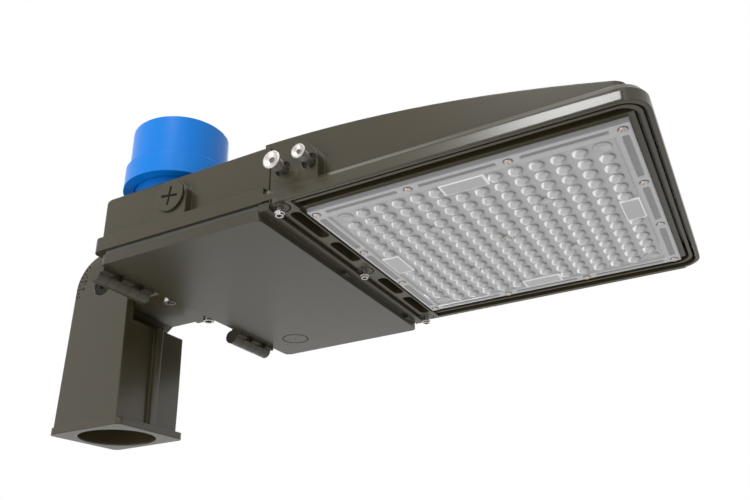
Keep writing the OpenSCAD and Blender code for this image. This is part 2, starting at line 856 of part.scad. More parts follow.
// Housing, one casting with the driver box, the finned head and the neck
module housing() {
    color([0.32, 0.30, 0.26])
    difference() {
        union() {
            box_blank();
            difference() {
                head_blank();
                fin_pocket();
            }
            fins();
            side_boss(plug_x, plug_z, plug_boss_r);
            for (sy = [-1, 1])
                mirror([0, sy > 0 ? 1 : 0, 0]) side_boss(bolt_boss_x, side_bolt_z, bolt_boss_r);
            rod_z(ear_x, 0, joint_z, deck_z + ear_r, ear_r);
            hinge_hooks();
        }
        driver_bay();
        for (y = [-ear_y, 0, ear_y]) {
            rod_z(ear_x, y, rim_z - over, joint_z, ear_r + loose_gap);
            rod_z(ear_x, y, rim_z, joint_z + screw_in + screw_out + over, screw_hole_r);
        }
        vent_slots();
        drip_channel();
        lens_seat();
        block(joint_x - over, bay_x0 + over, -tongue_half, tongue_half, tongue_z0, tongue_z1);
        for (sy = [-1, 1])
            rod_z(arm_screw_x, sy * arm_screw_y, arm_z - over, tongue_z0 + over, arm_screw_d / 2 + run_gap);
        for (p = edge_screws)
            rod_z(lens_x + p[0], p[1], lens_z1 - over, lens_z0 + lens_screw_l + over,
                lens_screw_r + run_gap);
        for (p = inner_screws)
            rod_z(lens_x + p[0], p[1], board_z0, lens_z0 + lens_screw_l + over, lens_screw_r + run_gap);
        rod_x(bay_x1 - over, lens_x - board_half + gland_open, gland_y, gland_z, gland_r);
        rod_z(cap_x, cap_y, ceiling_z - over, roof_z + over, socket_neck_r + run_gap);
        rod_y(plug_x, plug_z, -boss_face - over, -bay_half + over, plug_stem_r + run_gap);
        side_bolt_bores();
    }
}

// Hooks of the housing that carry the hinge pins
module hinge_hooks() {
    for (y = hinge_starts, share = knuckle_shares) {
        mid = y + hinge_l * share;
        difference() {
            union() {
                rod_y(hinge_x, hinge_z, mid - hook_t, mid + hook_t, barrel_r);
                block(hinge_x - barrel_r, door_x0 - door_gap * 2, mid - hook_t, mid + hook_t,
                    hinge_z, joint_z + hook_t);
            }
            rod_y(hinge_x, hinge_z, mid - hook_t - over, mid + hook_t + over, pin_r + run_gap);
        }
    }
}

// Driver in its case, hung from the ceiling of the box by two flanges
module driver() {
    z1 = ceiling_z;
    half_l = driver_l / 2;
    color([0.86, 0.86, 0.84])
    difference() {
        union() {
            round_block(driver_x - driver_w / 2, driver_x + driver_w / 2, driver_y - half_l,
                driver_y + half_l, z1 - driver_h, z1, driver_edge_r);
            block(driver_x - driver_w / 3, driver_x + driver_w / 3, driver_y - half_l - driver_flange,
                driver_y + half_l + driver_flange, z1 - driver_flange_t, z1);
        }
        for (sx = [-1, 1], sy = [-1, 1])
            rod_z(driver_x + sx * driver_w / 4, driver_y + sy * (half_l + driver_flange / 2),
                z1 - driver_h, z1 + over, driver_screw_r + free_gap);
    }
}

// Screws of the driver
module driver_screws() {
    z1 = ceiling_z - driver_flange_t;
    color([0.75, 0.74, 0.72])
    for (sx = [-1, 1], sy = [-1, 1]) {
        x = driver_x + sx * driver_w / 4;
        y = driver_y + sy * (driver_l / 2 + driver_flange / 2);
        rod_z(x, y, z1 - driver_screw_r, z1, driver_head_r);
        rod_z(x, y, z1, ceiling_z, driver_screw_r);
    }
}

// Surge protector on the ceiling of the box
module surge_protector() {
    color([0.12, 0.12, 0.13])
    round_block(surge_x - surge_w / 2, surge_x + surge_w / 2, surge_y - surge_l / 2, surge_y + surge_l / 2,
        ceiling_z - surge_h, ceiling_z, surge_r);
}

// Terminal block for the supply wires
module terminal_block() {
    color([0.90, 0.89, 0.85])
    difference() {
        block(block_x - block_w / 2, block_x + block_w / 2, -block_l / 2, block_l / 2,
            ceiling_z - block_h, ceiling_z);
        for (k = [0 : pole_n - 1])
            rod_x(block_x - block_w, block_x + block_w, (k - (pole_n - 1) / 2) * pole_pitch,
                ceiling_z - block_h / 2, pole_pitch / 4);
    }
}

// Sealed gland for the leads that go from the box to the head
module lead_gland() {
    color([0.10, 0.10, 0.10])
    difference() {
        union() {
            rod_x(bay_x1 - gland_rim_t, bay_x1, gland_y, gland_z, gland_r + gland_rim);
            rod_x(bay_x1, bay_x1 + gland_l, gland_y, gland_z, gland_r - run_gap);
        }
        rod_x(bay_x1 - gland_rim_t - over, bay_x1 + gland_l + over, gland_y, gland_z, gland_r / 2);
    }
}

// Light board, a square plate under the deck
module led_board() {
    color([0.93, 0.93, 0.91])
    difference() {
        block(lens_x - board_half, lens_x + board_half, -board_half, board_half, board_z0, board_z1);
        for (p = inner_screws)
            rod_z(lens_x + p[0], p[1], board_z0 - over, board_z1 + over, lens_screw_r + free_gap);
    }
}

// True where the grid has a lens and a light source under it
function has_lens(i, j) =
    let (a = abs(i - (lens_n - 1) / 2), b = abs(j - (lens_n - 1) / 2), last = (lens_n - 1) / 2)
    !(a == last && b == last) && !(a == last && b < 1) && !(b == last && a < 1);

// Places of the lenses, from the centre of the plate
lens_places = [for (i = [0 : lens_n - 1], j = [0 : lens_n - 1]) if (has_lens(i, j))
    [(i - (lens_n - 1) / 2) * lens_pitch, (j - (lens_n - 1) / 2) * lens_pitch]];

// Light sources under the board
module leds() {
    color([0.95, 0.88, 0.55])
    for (p = lens_places)
        block(lens_x + p[0] - led_w / 2, lens_x + p[0] + led_w / 2, p[1] - led_w / 2, p[1] + led_w / 2,
            led_z, board_z0);
}

// Connector of the board's leads
module board_connector() {
    x0 = lens_x - board_half + connector_in;
    color([0.88, 0.88, 0.86])
    block(x0, x0 + connector_w, gland_y - connector_l / 2, gland_y + connector_l / 2,
        board_z0 - connector_h, board_z0);
}

// Seal in the groove round the light board
module lens_gasket() {
    color([0.15, 0.15, 0.15])
    difference() {
        seal_block(seal_w / 2 - run_gap, lens_z1, lens_z1 + seal_deep);
        seal_block(-seal_w / 2 + run_gap, lens_z1 - over, lens_z1 + seal_deep + over);
    }
}

// Domes of the lens plate, cut off inside the plate
module lens_domes() {
    ball_r = (pow(dome_r, 2) + pow(dome_h, 2)) / (2 * dome_h);
    intersection() {
        union() {
            for (p = lens_places)
                translate([lens_x + p[0], p[1], lens_z0 - dome_h + ball_r]) sphere(r = ball_r, $fn = 24);
        }
        block(lens_x - lens_w / 2, lens_x + lens_w / 2, -lens_w / 2, lens_w / 2,
            lens_z0 - 2 * dome_h, lens_z0 + lens_t / 2);
    }
}

// Recesses between the screws along the edge of the lens plate
module edge_recesses() {
    mid = (lens_screw_mid + lens_screw_side) / 2;
    for (s = [-1, 1], k = [-1, 0, 1]) {
        long = k == 0 ? recess_l : recess_end_l;
        translate([lens_x + s * lens_screw_mid, k * mid, lens_z0 - over])
            linear_extrude(over + recess_deep) round_rect(recess_w, long, recess_r);
        translate([lens_x + k * mid, s * lens_screw_mid, lens_z0 - over])
            linear_extrude(over + recess_deep) round_rect(long, recess_w, recess_r);
    }
}

// Lens panel, a clear plate with a dome over each light source
module lens_panel() {
    half = lens_w / 2;
    color([0.80, 0.83, 0.86, 0.6])
    difference() {
        union() {
            round_block(lens_x - half, lens_x + half, -half, half, lens_z0, lens_z1, lens_r);
            lens_domes();
            for (sx = [-1, 1], sy = [-1, 1])
                rod_z(lens_x + sx * grid_half, sy * grid_half, lens_z0 - pad_h, lens_z0 + over, pad_r);
            for (p = inner_screws)
                rod_z(lens_x + p[0], p[1], lens_z0 - pad_h, lens_z0 + over, inner_pad_r);
            for (s = [-1, 1]) {
                block(lens_x + s * grid_half - label_w / 2, lens_x + s * grid_half + label_w / 2,
                    -label_l / 2, label_l / 2, lens_z0 - label_h, lens_z0 + over);
                block(lens_x - label_l / 2, lens_x + label_l / 2, s * grid_half - label_w / 2,
                    s * grid_half + label_w / 2, lens_z0 - label_h, lens_z0 + over);
            }
        }
        edge_recesses();
        for (p = concat(edge_screws, inner_screws))
            rod_z(lens_x + p[0], p[1], lens_z0 - 2 * over, lens_z1 + over, lens_screw_r + free_gap);
    }
}

// Screws of the lens panel
module lens_screws() {
    color([0.80, 0.77, 0.74])
    for (p = edge_screws) {
        rod_z(lens_x + p[0], p[1], lens_z0 - lens_screw_h, lens_z0, lens_screw_d / 2);
        rod_z(lens_x + p[0], p[1], lens_z0, lens_z0 + lens_screw_l, lens_screw_r);
    }
    for (p = inner_screws) {
        rod_z(lens_x + p[0], p[1], lens_z0 - pad_h - lens_screw_h, lens_z0 - pad_h, lens_screw_d / 2);
        rod_z(lens_x + p[0], p[1], lens_z0 - pad_h, lens_z0 + lens_screw_l, lens_screw_r);
    }
}

// Bolts for a shield or yoke, on both sides of the head
module side_bolts() {
    face = -boss_face - side_bolt_out;
    collar_y = face + side_bolt_head_h;
    color([0.80, 0.78, 0.77])
    for (sy = [-1, 1], inset = side_bolt_ins)
        mirror([0, sy > 0 ? 1 : 0, 0])
        difference() {
            union() {
                rod_y(head_x0 + inset, side_bolt_z, collar_y, -boss_face + side_bolt_in, side_bolt_d / 2);
                rod_y(head_x0 + inset, side_bolt_z, collar_y - over / 2, collar_y + side_bolt_collar_l,
                    side_bolt_collar_r);
                translate([head_x0 + inset, collar_y, side_bolt_z]) rotate([90, 0, 0])
                    cylinder(h = side_bolt_head_h - side_bolt_disc_h,
                        r1 = side_bolt_collar_r, r2 = side_bolt_head_r);
                rod_y(head_x0 + inset, side_bolt_z, face, face + side_bolt_disc_h, side_bolt_head_r);
            }
            translate([head_x0 + inset, face + side_bolt_key_h, side_bolt_z]) rotate([90, 0, 0])
                cylinder(h = side_bolt_head_h, r = side_bolt_key_r, $fn = 6);
        }
}

// Plug with a plus slot that closes the side opening
module side_plug() {
    face = -boss_face - plug_seal_t - plug_head_t;
    color([0.33, 0.31, 0.27])
    difference() {
        union() {
            rod_y(plug_x, plug_z, face, face + plug_head_t, plug_r);
            rod_y(plug_x, plug_z, face + plug_head_t, face + plug_stem_l, plug_stem_r);
        }
        for (turn = [0, 90])
            translate([plug_x, face, plug_z]) rotate([0, turn + plus_turn, 0])
                cube([2 * plus_l, plug_head_t * 1.2, plus_w], center = true);
    }
}

// Seal under the head of the side plug
module plug_seal() {
    color([0.1, 0.1, 0.1])
    difference() {
        rod_y(plug_x, plug_z, -boss_face - plug_seal_t, -boss_face, plug_r - plug_seal_in);
        rod_y(plug_x, plug_z, -boss_face - plug_seal_t - over, -boss_face + over, plug_stem_r + run_gap);
    }
}

// Receptacle that the photocell cap twists into
module receptacle() {
    z0 = roof_z + socket_seal_t;
    color([0.12, 0.42, 0.80])
    difference() {
        union() {
            rod_z(cap_x, cap_y, z0, z0 + socket_h, socket_r);
            rod_z(cap_x, cap_y, ceiling_z - socket_neck_l, z0, socket_neck_r);
        }
        for (turn = contact_turns)
            translate([cap_x, cap_y, z0 + socket_h - contact_h - over])
                rotate([0, 0, turn - contact_play_deg])
                    rotate_extrude(angle = contact_deg + twist_deg + 2 * contact_play_deg)
                        translate([contact_r - contact_t / 2 - free_gap, 0])
                            square([contact_t + 2 * free_gap, contact_h + 2 * over]);
    }
}

// Seal between receptacle and roof
module receptacle_seal() {
    color([0.1, 0.1, 0.1])
    difference() {
        rod_z(cap_x, cap_y, roof_z, roof_z + socket_seal_t, socket_r - socket_seal_in);
        rod_z(cap_x, cap_y, roof_z - over, roof_z + socket_seal_t + over, socket_neck_r + run_gap);
    }
}

// Nut that holds the receptacle from inside
module receptacle_nut() {
    color([0.85, 0.85, 0.83])
    difference() {
        translate([cap_x, cap_y, ceiling_z - socket_nut_h])
            cylinder(h = socket_nut_h, r = socket_nut_r, $fn = 8);
        rod_z(cap_x, cap_y, ceiling_z - socket_nut_h - over, ceiling_z + over, socket_neck_r + run_gap);
    }
}

// Photocell cap with a wide skirt and a rounded top edge
module photocell_cap() {
    low_h = skirt_h - cap_step;
    high_h = skirt_h + cap_step;
    color([0.16, 0.50, 0.90])
    translate([cap_x, cap_y, cap_z0])
    rotate_extrude($fn = 96)
    difference() {
        union() {
            square([cap_r, low_h]);
            polygon([[0, 0], [cap_r, 0], [cap_r, low_h], [cap_upper_r, high_h], [0, high_h]]);
            square([cap_upper_r, cap_h - cap_top_r]);
            square([cap_upper_r - cap_top_r, cap_h]);
            translate([cap_upper_r - cap_top_r, cap_h - cap_top_r]) circle(r = cap_top_r, $fn = 32);
        }
        translate([0, -over]) square([socket_r + free_gap * 2, cap_seat + over]);
    }
}

// Contacts of the cap, three curved blades
module cap_contacts() {
    color([0.80, 0.65, 0.30])
    for (turn = contact_turns)
        translate([cap_x, cap_y, cap_z0 + cap_seat - contact_h])
            rotate([0, 0, turn]) rotate_extrude(angle = contact_deg)
                translate([contact_r - contact_t / 2, 0]) square([contact_t, contact_h]);
}

// Pins of the two door hinges
module hinge_pins() {
    color([0.65, 0.64, 0.62])
    for (y = hinge_starts)
        rod_y(hinge_x, hinge_z, y + pin_in, y + hinge_l - pin_in, pin_r);
}

// Where the door's own barrels lie between the hooks, as shares of the hinge
door_barrel_shares = [[0, 0.3], [0.3, 0.7], [0.7, 1]];

// Hinge barrels of the door, closed at their near end, with a web to the back wall
module door_barrels() {
    for (y = hinge_starts)
        for (pair = door_barrel_shares) {
            y0 = y + hinge_l * pair[0] + (pair[0] > 0 ? hook_t + hook_gap : 0);
            y1 = y + hinge_l * pair[1] - (pair[1] < 1 ? hook_t + hook_gap : 0);
            difference() {
                union() {
                    rod_y(hinge_x, hinge_z, y0, y1, barrel_r);
                    block(hinge_x, door_x0 + door_t, y0, y1, hinge_z, door_z + door_t);
                }
                rod_y(hinge_x, hinge_z, y + pin_in - free_gap, y + hinge_l + over, pin_r + run_gap);
            }
        }
}

// Door, a shallow tray with ears for the screws and barrels at its back
module door() {
    color([0.36, 0.35, 0.31])
    difference() {
        union() {
            round_block(door_x0, door_x1, -door_half, door_half, door_z, door_top_z, door_corner_r);
            block(door_x1 - lip_in, lip_x1, -door_half, door_half, lip_z0, lip_z1);
            intersection() {
                for (y = [-ear_y, 0, ear_y])
                    rod_z(ear_x, y, rim_z, lip_z1, ear_r);
                block(door_x1, head_x0 + box_l, -head_w / 2 + lip_in, head_w / 2 - lip_in, rim_z, lip_z1);
            }
            for (y = catch_ys)
                block(door_x1 - over, door_x1 + door_t, y - catch_w / 2, y + catch_w / 2,
                    door_z + door_t, lip_z0 + over);
            door_barrels();
        }
        block(door_x0 + door_rim_t, door_x1 - door_end_t, -door_half + door_rim_t, door_half - door_rim_t,
            door_z + door_t, lip_z1 + over);
        for (y = [-ear_y, 0, ear_y])
            rod_z(ear_x, y, rim_z - over, lip_z1 + over, screw_shank_r + free_gap);
        rod_z(port_x, port_y, door_z - over, door_z + port_deep, port_r + port_line);
        rod_z(port_x, port_y, door_z - over, door_z + door_t + over, port_stem_r + run_gap);
    }
}

// Seal ring between door and box
module door_gasket() {
    x0 = door_x0 + gasket_in;
    x1 = door_x1 - gasket_end_in;
    half = door_half - gasket_in;
    color([0.25, 0.25, 0.25])
    difference() {
        block(x0, x1, -half, half, door_top_z, joint_z);
        block(x0 + gasket_w, x1 - gasket_w, -half + gasket_w, half - gasket_w,
            door_top_z - over, joint_z + over);
    }
}

// Plug that closes the sensor port in the door
module sensor_plug() {
    color([0.36, 0.35, 0.31])
    difference() {
        union() {
            rod_z(port_x, port_y, door_z, door_z + port_deep, port_r);
            rod_z(port_x, port_y, door_z + port_deep, door_z + door_t + port_in, port_stem_r);
        }
        rod_z(port_x, port_y, door_z - over, door_z + port_dot_deep, port_dot_r);
    }
}

// Captive screw of the door at one ear
module door_screw(y) {
    z1 = rim_z - screw_out;
    z0 = z1 - screw_head_h;
    color([0.80, 0.78, 0.77])
    difference() {
        union() {
            rod_z(ear_x, y, z0, z1, screw_head_r);
            rod_z(ear_x, y, z1, joint_z + screw_in, screw_shank_r);
        }
        hex_z(ear_x, y, z0 - over, z0 + screw_key_h, screw_key_r);
    }
}

// Door screw on the near side
module door_screw_near() {
    door_screw(-ear_y);
}

// Door screw in the middle
module door_screw_middle() {
    door_screw(0);
}

// Door screw on the far side
module door_screw_far() {
    door_screw(ear_y);
}

slip_fitter();
tenon_screws();
pivot_bolt();
pivot_nut();
tilt_ring();
tilt_arm();
arm_screws();
housing();
driver();
driver_screws();
surge_protector();
terminal_block();
lead_gland();
led_board();
leds();
board_connector();
lens_gasket();
lens_panel();
lens_screws();
side_bolts();
side_plug();
plug_seal();
receptacle();
receptacle_seal();
receptacle_nut();
photocell_cap();
cap_contacts();
hinge_pins();
door();
door_gasket();
sensor_plug();
door_screw_near();
door_screw_middle();
door_screw_far();
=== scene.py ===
"""Looks, camera and studio for the shoebox area light, laid out as an add-on.

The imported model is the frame: every dimension comes from its nodes. Lengths are in metres.
"""

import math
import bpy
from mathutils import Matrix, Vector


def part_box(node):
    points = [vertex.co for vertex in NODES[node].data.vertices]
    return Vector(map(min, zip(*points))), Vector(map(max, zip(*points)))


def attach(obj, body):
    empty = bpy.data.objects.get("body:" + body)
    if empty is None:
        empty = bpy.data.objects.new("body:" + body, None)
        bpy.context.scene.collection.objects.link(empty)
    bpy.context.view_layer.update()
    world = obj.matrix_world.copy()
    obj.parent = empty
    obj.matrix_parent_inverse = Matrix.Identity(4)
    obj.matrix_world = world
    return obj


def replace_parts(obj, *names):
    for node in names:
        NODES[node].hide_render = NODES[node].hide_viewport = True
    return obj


bl_info = {
    "name": "Shoebox Area Light",
    "version": (1, 0, 0),
    "blender": (4, 5, 0),
    "location": "3D View > Sidebar > Area Light",
    "description": "Finishes and fine pieces for a pole-mounted shoebox area light",
    "category": "Object",
}

import bmesh
import bpy
import numpy as np
from bpy.props import FloatProperty, FloatVectorProperty, PointerProperty
from bpy.types import Operator, Panel, PropertyGroup
from mathutils import Matrix, Vector

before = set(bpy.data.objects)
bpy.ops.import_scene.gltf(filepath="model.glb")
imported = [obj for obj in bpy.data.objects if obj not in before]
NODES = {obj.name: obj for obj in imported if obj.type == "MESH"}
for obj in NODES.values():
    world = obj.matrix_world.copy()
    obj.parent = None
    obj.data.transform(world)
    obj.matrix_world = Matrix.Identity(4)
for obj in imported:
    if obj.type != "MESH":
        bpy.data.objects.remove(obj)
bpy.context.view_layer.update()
MM = 0.001

# The cheek's face, on which the index marks stand, and the marks about the pivot.
SCALE_FACE = -36 * MM
TICK_EDGE, TICK_LONG, TICK_SHORT, TICK_HALF = 29.6 * MM, 25.2 * MM, 26.2 * MM, 0.42 * MM
DIGIT_RADIUS, DIGIT_SIZE = 22.2 * MM, 5.0 * MM

# The lens sheet: side screws as a share of its half, slots between the screws, and the four plain plates.
SCREW_SIDE = 0.314
SLOT_SHORT, SLOT_WIDE, SLOT_ROUND, SLOT_DEEP = 14 * MM, 4.0 * MM, 1.8 * MM, 1.5 * MM
PLATE_IN, PLATE_LONG, PLATE_WIDE, PLATE_ROUND = 6.2 * MM, 30 * MM, 13.4 * MM, 0.6 * MM
LENS_ROWS = 14
DOWN = (0, 0, -1)


def colour(name, default, description):
    """A colour property."""
    return FloatVectorProperty(name=name, subtype="COLOR", size=3, min=0, max=1, default=default,
                               description=description)


def length(name, default, description):
    """A length property, in metres."""
    return FloatProperty(name=name, subtype="DISTANCE", unit="LENGTH", precision=4, default=default,
                         description=description)


class AreaLightFinish(PropertyGroup):
    """Colours of the finishes."""

    coat: colour("Coat", (0.0420, 0.0336, 0.0152), "Dark bronze powder coat of the castings")
    # The door's powder coat, a little darker than the castings' coat: partly its own colour, partly painted shade of
    # the underside.
    shaded_door_coat: colour("Door coat", (0.037, 0.031, 0.0165), "Powder coat of the door")
    # Painted shade: the dark of the sunk index marks, the line round the door's flat plug and the floor of the side
    # plug's plus slot.
    recess_shade: colour("Mark", (0.012, 0.011, 0.006), "Sunk index marks on the cheek")
    steel: colour("Steel", (0.62, 0.58, 0.56), "Stainless screws and bolts")
    screw_steel: colour("Lens screws", (0.60, 0.54, 0.51), "Warm steel of the lens screws")
    # Painted shade: dark discs on the floors of the bolts' sockets.
    socket_shade: colour("Socket shade", (0.16, 0.15, 0.14), "Floor of the side bolts' sockets")
    dark_steel: colour("Dark steel", (0.014, 0.013, 0.009), "Blackened pivot bolt")
    brass: colour("Brass", (0.75, 0.53, 0.22), "Contacts of the photocell cap")
    cap_blue: colour("Cap blue", (0.000, 0.205, 0.72), "Photocell cap")
    socket_blue: colour("Receptacle blue", (0.000, 0.150, 0.52), "Photocell receptacle")
    lens_tint: colour("Lens tint", (0.385, 0.385, 0.39), "Clear moulded lens sheet over the white board")
    # Painted shade: a dark line at the foot of each lens on the side away from the pole.
    lens_shade: colour("Lens shade", (0.21, 0.21, 0.215), "Dark line at the foot of each lens, away from the pole")
    # Painted highlight along the bevelled edges of the plain plates.
    plate_edge_highlight: colour("Lens edge", (0.90, 0.90, 0.90), "Bright edge of the plain plates on the sheet")
    # Painted highlight: white on each lens's wall on its pole side.
    lens_wall_highlight: colour("Lens wall", (1.0, 1.0, 1.0), "Pale wall of a lens on its pole side")
    lens_ring: colour("Lens ring", (0.47, 0.47, 0.475), "Frosted look of a lens outside its middle")
    lens_frame: colour("Lens frame", (0.42, 0.42, 0.425), "Raised frame round the sheet")
    lens_slot: colour("Lens slot", (0.18, 0.18, 0.185), "Bottom of the slots in the sheet's frame")
    well_shade: colour("Screw well", (0.12, 0.115, 0.11), "Shadowed seat round a lens screw")
    lens_pupil: colour("Lens pupil", (0.31, 0.31, 0.295), "Light source seen through the middle of a lens")
    phosphor: colour("Phosphor", (0.42, 0.40, 0.30), "Light source seen through its lens")
    seal: colour("Seal", (0.018, 0.018, 0.018), "Rubber seals")


class AreaLightSizes(PropertyGroup):
    """Sizes of the fine pieces that only the scene has."""

    grain: length("Coat grain", 0.0009, "Distance from one bump of the powder coat to the next")
    edge: length("Edge rounding", 0.0009, "Radius that casting edges catch the light with")
    fitter_edge: length("Fitter edge rounding", 0.0022, "Radius of the slip fitter's upright edges")
    lens_pitch: length("Lens pitch", 0.0125, "Distance from one lens to the next")
    lens_height: length("Lens height", 0.0030, "Height of a lens over its sheet")
    lens_long: length("Lens length", 0.0048, "Half length of a lens along the head")
    lens_wide: length("Lens width", 0.0045, "Half width of a lens across the head")
    sheet_thick: length("Sheet thickness", 0.0030, "Thickness of the lens sheet")
    frame_wide: length("Frame width", 0.0102, "Width of the raised frame round the sheet")
    frame_high: length("Frame height", 0.0009, "Height of the frame over the sheet")
    screw_edge: length("Screw edge", 0.0044, "From the sheet's edge to its screws")
    plate_high: length("Plate height", 0.0016, "Height of the four plain plates over the sheet")
    band_draft: length("Band draft", 0.00116, "How far the foot of the head's rim band stands out")


class AreaLightCamera(PropertyGroup):
    """Place of the camera."""

    place: FloatVectorProperty(name="Place", subtype="XYZ", unit="LENGTH", default=(0.4676, -0.4584, -0.1356),
                               description="Where the camera stands")
    focal: FloatProperty(name="Focal length", default=36.64, min=10, max=200,
                         description="Focal length in millimetres")


def settings():
    """The three property groups of the scene."""
    scene = bpy.context.scene
    return scene.area_light_finish, scene.area_light_sizes, scene.area_light_camera


# ---------------------------------------------------------------- finishes


def new_group(name, inputs, outputs):
    """A shader node group with named sockets. inputs and outputs map a name to (socket type, default)."""
    group = bpy.data.node_groups.new(name, "ShaderNodeTree")
    for label, (kind, default) in inputs.items():
        sock = group.interface.new_socket(label, in_out="INPUT", socket_type=kind)
        if default is not None:
            sock.default_value = default
    for label, kind in outputs.items():
        group.interface.new_socket(label, in_out="OUTPUT", socket_type=kind)
    return group, group.nodes.new("NodeGroupInput"), group.nodes.new("NodeGroupOutput")


def add(tree, kind, values=None, **attributes):
    """A node of one kind with its attributes and the default values of its inputs."""
    node = tree.nodes.new(kind)
    for key, value in attributes.items():
        setattr(node, key, value)
    for key, value in (values or {}).items():
        node.inputs[key].default_value = value
    return node


def join(tree, source, target):
    """Links two sockets."""
    tree.links.new(source, target)


FLOAT, COLOR, VECTOR = "NodeSocketFloat", "NodeSocketColor", "NodeSocketVector"


def coat_group():
    """Powder coat: a colour that drifts a little, a roughness that varies and a fine orange-peel height."""
    group, start, end = new_group(
        "powder_coat",
        {"Vector": (VECTOR, None), "Colour": (COLOR, (0.1, 0.1, 0.1, 1)), "Grain": (FLOAT, 0.001),
         "Drift": (FLOAT, 0.12), "Roughness": (FLOAT, 0.42)},
        {"Colour": COLOR, "Roughness": FLOAT, "Height": FLOAT})
    per_metre = add(group, "ShaderNodeMath", {0: 1.0}, operation="DIVIDE")
    join(group, start.outputs["Grain"], per_metre.inputs[1])
    peel = add(group, "ShaderNodeTexNoise", {"Detail": 2.0, "Roughness": 0.55})
    join(group, start.outputs["Vector"], peel.inputs["Vector"])
    join(group, per_metre.outputs[0], peel.inputs["Scale"])
    flecks = add(group, "ShaderNodeTexNoise", {"Scale": 1300.0, "Detail": 2.0, "Roughness": 0.5})
    join(group, start.outputs["Vector"], flecks.inputs["Vector"])
    drift = add(group, "ShaderNodeTexNoise", {"Scale": 9.0, "Detail": 3.0, "Roughness": 0.6})
    join(group, start.outputs["Vector"], drift.inputs["Vector"])
    blend = add(group, "ShaderNodeMath", {1: 0.35, 2: 0.0}, operation="MULTIPLY_ADD")
    join(group, flecks.outputs["Fac"], blend.inputs[0])
    wide = add(group, "ShaderNodeMath", {1: 0.65}, operation="MULTIPLY")
    join(group, drift.outputs["Fac"], wide.inputs[0])
    join(group, wide.outputs[0], blend.inputs[2])
    centred = add(group, "ShaderNodeMath", {1: 0.5}, operation="SUBTRACT")
    join(group, blend.outputs[0], centred.inputs[0])
    gain = add(group, "ShaderNodeMath", {2: 1.0}, operation="MULTIPLY_ADD")
    join(group, centred.outputs[0], gain.inputs[0])
    join(group, start.outputs["Drift"], gain.inputs[1])
    tinted = add(group, "ShaderNodeVectorMath", operation="SCALE")
    join(group, start.outputs["Colour"], tinted.inputs[0])
    join(group, gain.outputs[0], tinted.inputs["Scale"])
    join(group, tinted.outputs[0], end.inputs["Colour"])
    rough = add(group, "ShaderNodeMath", {1: 0.05}, operation="MULTIPLY_ADD")
    join(group, centred.outputs[0], rough.inputs[0])
    join(group, start.outputs["Roughness"], rough.inputs[2])
    join(group, rough.outputs[0], end.inputs["Roughness"])
    join(group, peel.outputs["Fac"], end.inputs["Height"])
    return group


def turned_group():
    """Turned metal: patches of tarnish in colour and roughness, and a fine grain as height."""
    group, start, end = new_group(
        "turned_metal",
        {"Vector": (VECTOR, None), "Colour": (COLOR, (0.6, 0.6, 0.6, 1)), "Roughness": (FLOAT, 0.25)},
        {"Colour": COLOR, "Roughness": FLOAT, "Height": FLOAT})
    streak = add(group, "ShaderNodeTexNoise", {"Scale": 900.0, "Detail": 2.0, "Roughness": 0.5})
    join(group, start.outputs["Vector"], streak.inputs["Vector"])
    tarnish = add(group, "ShaderNodeTexNoise", {"Scale": 130.0, "Detail": 3.0, "Roughness": 0.6})
    join(group, start.outputs["Vector"], tarnish.inputs["Vector"])
    gain = add(group, "ShaderNodeMapRange", {"From Min": 0.3, "From Max": 0.7, "To Min": 0.82, "To Max": 1.08})
    join(group, tarnish.outputs["Fac"], gain.inputs["Value"])
    tinted = add(group, "ShaderNodeVectorMath", operation="SCALE")
    join(group, start.outputs["Colour"], tinted.inputs[0])
    join(group, gain.outputs[0], tinted.inputs["Scale"])
    join(group, tinted.outputs[0], end.inputs["Colour"])
    rough = add(group, "ShaderNodeMath", {1: 0.18}, operation="MULTIPLY_ADD")
    join(group, tarnish.outputs["Fac"], rough.inputs[0])
    join(group, start.outputs["Roughness"], rough.inputs[2])
    join(group, rough.outputs[0], end.inputs["Roughness"])
    join(group, streak.outputs["Fac"], end.inputs["Height"])
    return group


def moulded_group():
    """Moulded plastic: a faint cloudiness in colour and roughness and a shallow ripple."""
    group, start, end = new_group(
        "moulded_plastic",
        {"Vector": (VECTOR, None), "Colour": (COLOR, (0.5, 0.5, 0.5, 1)), "Cloud": (FLOAT, 0.08),
         "Roughness": (FLOAT, 0.3), "Scale": (FLOAT, 60.0)},
        {"Colour": COLOR, "Roughness": FLOAT, "Height": FLOAT})
    cloud = add(group, "ShaderNodeTexNoise", {"Detail": 3.0, "Roughness": 0.55})
    join(group, start.outputs["Vector"], cloud.inputs["Vector"])
    join(group, start.outputs["Scale"], cloud.inputs["Scale"])
    centred = add(group, "ShaderNodeMath", {1: 0.5}, operation="SUBTRACT")
    join(group, cloud.outputs["Fac"], centred.inputs[0])
    gain = add(group, "ShaderNodeMath", {2: 1.0}, operation="MULTIPLY_ADD")
    join(group, centred.outputs[0], gain.inputs[0])
    join(group, start.outputs["Cloud"], gain.inputs[1])
    tinted = add(group, "ShaderNodeVectorMath", operation="SCALE")
    join(group, start.outputs["Colour"], tinted.inputs[0])
    join(group, gain.outputs[0], tinted.inputs["Scale"])
    join(group, tinted.outputs[0], end.inputs["Colour"])
    rough = add(group, "ShaderNodeMath", {1: 0.08}, operation="MULTIPLY_ADD")
    join(group, centred.outputs[0], rough.inputs[0])
    join(group, start.outputs["Roughness"], rough.inputs[2])
    join(group, rough.outputs[0], end.inputs["Roughness"])
    join(group, cloud.outputs["Fac"], end.inputs["Height"])
    return group


GROUPS = {}


def group_named(name):
    """Builds each shared group once."""
    makers = {"powder_coat": coat_group, "turned_metal": turned_group, "moulded_plastic": moulded_group}
    if name not in GROUPS:
        GROUPS[name] = makers[name]()
    return GROUPS[name]


